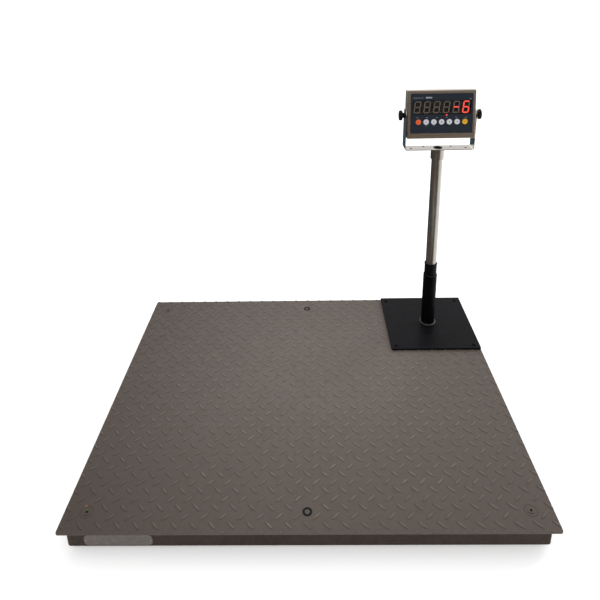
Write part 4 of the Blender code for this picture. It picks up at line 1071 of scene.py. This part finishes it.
def make_display():
    """Six digit blocks behind the window, with a dash and a six lit, and a lamp under each."""
    blocks, unlit, lit = bmesh.new(), bmesh.new(), bmesh.new()
    shown = {4: "g", 5: "afgedc"}  # which bars are lit, by digit
    raised, sunk = DIGIT_FACE_Y - 0.0003, DIGIT_FACE_Y + 0.0005
    half = DIGIT_PITCH / 2 - 0.0004
    bottom, top = WINDOW_Z[0] + 0.0008, WINDOW_Z[1] - 0.0008
    for number, x in enumerate(DIGIT_X):
        outline = rounded_rectangle((x - half, bottom), (x + half, top), 0.0008, 2)
        prism(outline, DIGIT_FACE_Y, DIGIT_FACE_Y + 0.012, into=blocks)
        for letter, (length, upright, at_x, at_z) in digit_segments().items():
            outline = segment_outline(length, upright, at_x, at_z)
            outline = [(a + x, b + DIGIT_Z) for a, b in outline]
            target = lit if letter in shown.get(number, "") else unlit
            prism(outline, raised, sunk, into=target)
        point = (x + DIGIT_WIDTH / 2 + 0.0012, DIGIT_Z - DIGIT_HEIGHT / 2 + 0.0022)
        prism(ring_points(0.0019, 20, point), raised, sunk, into=unlit)
    face_piece("digit_blocks", soften(blocks, 0.0003), "display_block")
    face_piece("segments_unlit", unlit, "display_segment")
    face_piece("segments_lit", lit, "display_lit")
    lamp = [(LAMP_RADIUS * 0.8, -0.0006), (LAMP_RADIUS * 0.8, 0.0002), (LAMP_RADIUS * 0.5, 0.0005)]
    seats = [at(x, OVERLAY_FRONT, LAMP_Z) @ OUTWARD for x in DIGIT_X]
    lit_seat = seats.pop(LAMP_LIT)
    turned_set("status_lamp_on", lamp, [lit_seat], "display_lit", 20, body="indicator", matrix=FACE)
    turned_set("status_lamps_off", lamp, seats, "display_block", 20, body="indicator",
               matrix=FACE)


def arc_band(inner, outer, start, end):
    centre = (0, 0)
    return arc(centre, outer, start, end, 16) + arc(centre, inner, end, start, 16)


def icon_shapes(number):
    """Simple shapes for the key's icon: on-off, return, up, bars, down, dot, tick."""
    bar = 0.0006
    power = [arc_band(0.0026, 0.0036, 120, 420), rectangle((-bar, 0.0008), (bar, 0.0044))]
    back = [arc_band(0.0024, 0.0034, -60, 200), [(-0.0046, 0.0004), (-0.0014, 0.0004), (-0.003, -0.0022)]]
    up = [[(-0.003, -0.0018), (0.003, -0.0018), (0, 0.0026)]]
    bars = [rectangle((-0.0034, z - bar), (0.0034, z + bar)) for z in (-0.0018, 0.0, 0.0018)]
    down = [[(-0.003, 0.0018), (0.0, -0.0026), (0.003, 0.0018)]]
    dot = [ring_points(0.0022, 20)]
    tick = [[(-0.0036, 0.0002), (-0.001, -0.0026), (0.0038, 0.0026), (0.003, 0.0034), (-0.001, -0.0008),
             (-0.0028, 0.0012)]]
    return (power, back, up, bars, down, dot, tick)[number - 1]


def make_keys():
    looks = ("key_orange",) + ("key_white",) * 5 + ("key_yellow",)
    icons = ("icon_red",) * 2 + ("icon_grey",) * 4 + ("icon_red",)
    front = -KEY_FRONT
    back = front - KEY_THICKNESS
    profile = [
        (0.0024, -0.0065), (0.003, -0.006), (0.003, back), (KEY_RADIUS - 0.0003, back),
        (KEY_RADIUS, back + 0.0003), (KEY_RADIUS, front - 0.0006), (KEY_RADIUS - 0.0002, front - 0.00025),
        (KEY_RADIUS - 0.0007, front), (KEY_RADIUS - 0.0016, front - 0.0001), (0.004, front - 0.0002),
    ]
    for number, (x, look, icon) in enumerate(zip(KEY_X, looks, icons), 1):
        node = f"key_{number}"
        seat = FACE @ at(x, 0, KEY_Z) @ OUTWARD
        lathe(node, profile, look, seat, body=node, name=f"{node}_cap")
        work = bmesh.new()
        for outline in icon_shapes(number):
            outline = [(x + a, KEY_Z + b) for a, b in outline]
            prism(outline, KEY_FRONT - 0.00002, KEY_FRONT + 0.00035, into=work)
        piece(f"{node}_icon", work, icon, node, matrix=FACE)


def make_knobs():
    """The clamping knobs: a lobed head on a neck that stands against the bracket's arm."""
    for side, name in ((-1, "knob_left"), (1, "knob_right")):
        near, far = sorted(side * (corner.x - STAND.x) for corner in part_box(name))
        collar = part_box("indicator_bracket")[1].x - STAND.x + 0.0003
        head = far - KNOB_HEAD_THICKNESS
        low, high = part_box(name)
        radius = (high.z - low.z) / 2
        grip = lobed(radius, 0.0024, 8)
        grip_edge = lobed(radius - 0.0012, 0.0022, 8)
        grip_inner = lobed(radius - 0.003, 0.0014, 8)
        neck = KNOB_NECK_RADIUS
        profile = [
            (0.0036, near), (0.004, near + 0.0004), (0.004, collar), (neck, collar), (neck, collar + 0.0012),
            (neck - 0.0007, collar + 0.002), (neck - 0.0009, head - 0.003), (neck + 0.0015, head - 0.0004),
            (neck + 0.0035, head), (grip_inner, head + 0.0003), (grip_edge, head + 0.0012),
            (grip, head + 0.003), (grip, far - 0.0032), (grip_edge, far - 0.0012), (grip_inner, far - 0.0003),
            (0.013, far), (0.0104, far - 0.0004), (0.0097, far - 0.0016), (0.004, far - 0.002),
        ]
        seat = at(STAND.x, PIVOT.y, PIVOT.z) @ Matrix.Rotation(side * math.pi / 2, 4, "Y")
        lathe(name, profile, "black_plastic", seat, 96, body=name)


# ---- Studio and camera


def sheet(name, corners, look):
    """A flat piece of the studio."""
    work = bmesh.new()
    work.faces.new([work.verts.new(corner) for corner in corners])
    mesh = bpy.data.meshes.new(name)
    work.to_mesh(mesh)
    work.free()
    mesh.materials.append(look.material)
    obj = placed(name, mesh)
    return obj


def make_studio():
    """A white floor and surround, two soft lights, and dark cards that the stainless steel mirrors."""
    floor = Look("studio_floor", Roughness=0.85, Specular_IOR_Level=0.1, Emission_Strength=0.32)
    white = (1.0, 1.0, 1.0, 1.0)
    floor.shader.inputs["Emission Color"].default_value = white
    floor.colour(floor.mix(floor.noise(0.8, 2), (0.9, 0.9, 0.9, 1), (0.93, 0.93, 0.93, 1)))
    reach = 40.0
    corners = [(x, y, 0) for x, y in rectangle((-reach, -reach), (reach, reach))]
    sheet("studio_floor", corners, floor)
    world = bpy.data.worlds.new("studio")
    bpy.context.scene.world = world
    world.use_nodes = True
    background = world.node_tree.nodes["Background"]
    background.inputs["Color"].default_value = white
    background.inputs["Strength"].default_value = 1.0
    softbox("rear_softbox", (-0.9, 4.2, 3.0), (0.4, 0.4, 1.0), (2.6, 1.6), 18)
    softbox("right_softbox", (3.5, 2.0, 1.5), (0.2, 0.0, 0.3), (1.4, 1.6), 60)
    tan, brown, blue = (0.144, 0.111, 0.085, 1), (0.135, 0.11, 0.092, 1), (0.03, 0.062, 0.09, 1)
    low, high = 0.02, 2.4
    upright_card("front_card", tan, (-4, -3.4), (3.2, -3.4), low, high)
    upright_card("left_card", brown, (-4, -3.4), (-4, 3.5), low, high)
    level_card("near_card", brown, [(-4, -3.4), (3.2, -3.4), (1.45, -0.9), (-4, -0.9)], low)
    level_card("right_card", brown, [(0.78, -0.9), (1.45, -0.9), (0.86, -0.1), (0.78, -0.1)], low)
    level_card("side_card", brown, rectangle((-4, -0.9), (-0.85, 1.6)), low)
    level_card("rear_card", blue, rectangle((-0.85, 0.66), (0.5, 1.6)), low)
    level_card("far_card", blue, rectangle((-4, 1.6), (1.2, 7.0)), low)


def upright_card(name, colour, start, end, low, high):
    dark_card(name, colour, [(*start, low), (*end, low), (*end, high), (*start, high)])


def level_card(name, colour, outline, height):
    dark_card(name, colour, [(x, y, height) for x, y in outline])


def dark_card(name, colour, corners):
    """A card that only shows up in reflections."""
    look = Look(name, Roughness=0.9, Specular_IOR_Level=0.1)
    look.colour(look.mix(look.noise(2.0), colour, shade(colour, 0.75)))
    card = sheet(name, corners, look)
    card.visible_camera = False
    card.visible_diffuse = False
    card.visible_shadow = False


def softbox(name, spot, toward, size, power):
    data = bpy.data.lights.new(name, "AREA")
    data.shape = "RECTANGLE"
    data.size, data.size_y = size
    data.energy = power
    light = placed(name, data)
    light.location = spot
    light.rotation_euler = (Vector(toward) - Vector(spot)).to_track_quat("-Z", "Y").to_euler()


def make_camera():
    """Standing height, in front of the middle of the deck, looking down at it."""
    down, turn, roll = math.radians(18.27), math.radians(1.05), math.radians(1.2)
    data = bpy.data.cameras.new("camera")
    data.sensor_width = 36
    data.lens = 33.34
    data.shift_y = -0.25
    camera = placed("camera", data)
    aim = Matrix.Rotation(turn, 4, "Z") @ Matrix.Rotation(math.pi / 2 - down, 4, "X")
    seat = at(0.024, -1.798, DECK_TOP + 1.584)
    camera.matrix_world = seat @ aim @ Matrix.Rotation(-roll, 4, "Z")
    bpy.context.scene.camera = camera


def main():
    make_deck()
    make_deck_fittings()
    make_skirt()
    make_data_plate()
    make_load_cell_sets()
    make_junction_box()
    make_stand_base()
    make_socket()
    make_clamp_screw()
    make_column()
    make_bracket()
    make_bracket_fittings()
    make_case()
    make_gland()
    make_overlay()
    make_marks()
    make_display()
    refine("main_board", "circuit_board", body="indicator")
    make_keys()
    make_knobs()
    make_studio()
    make_camera()
    bpy.context.scene.view_settings.view_transform = "Standard"


main()
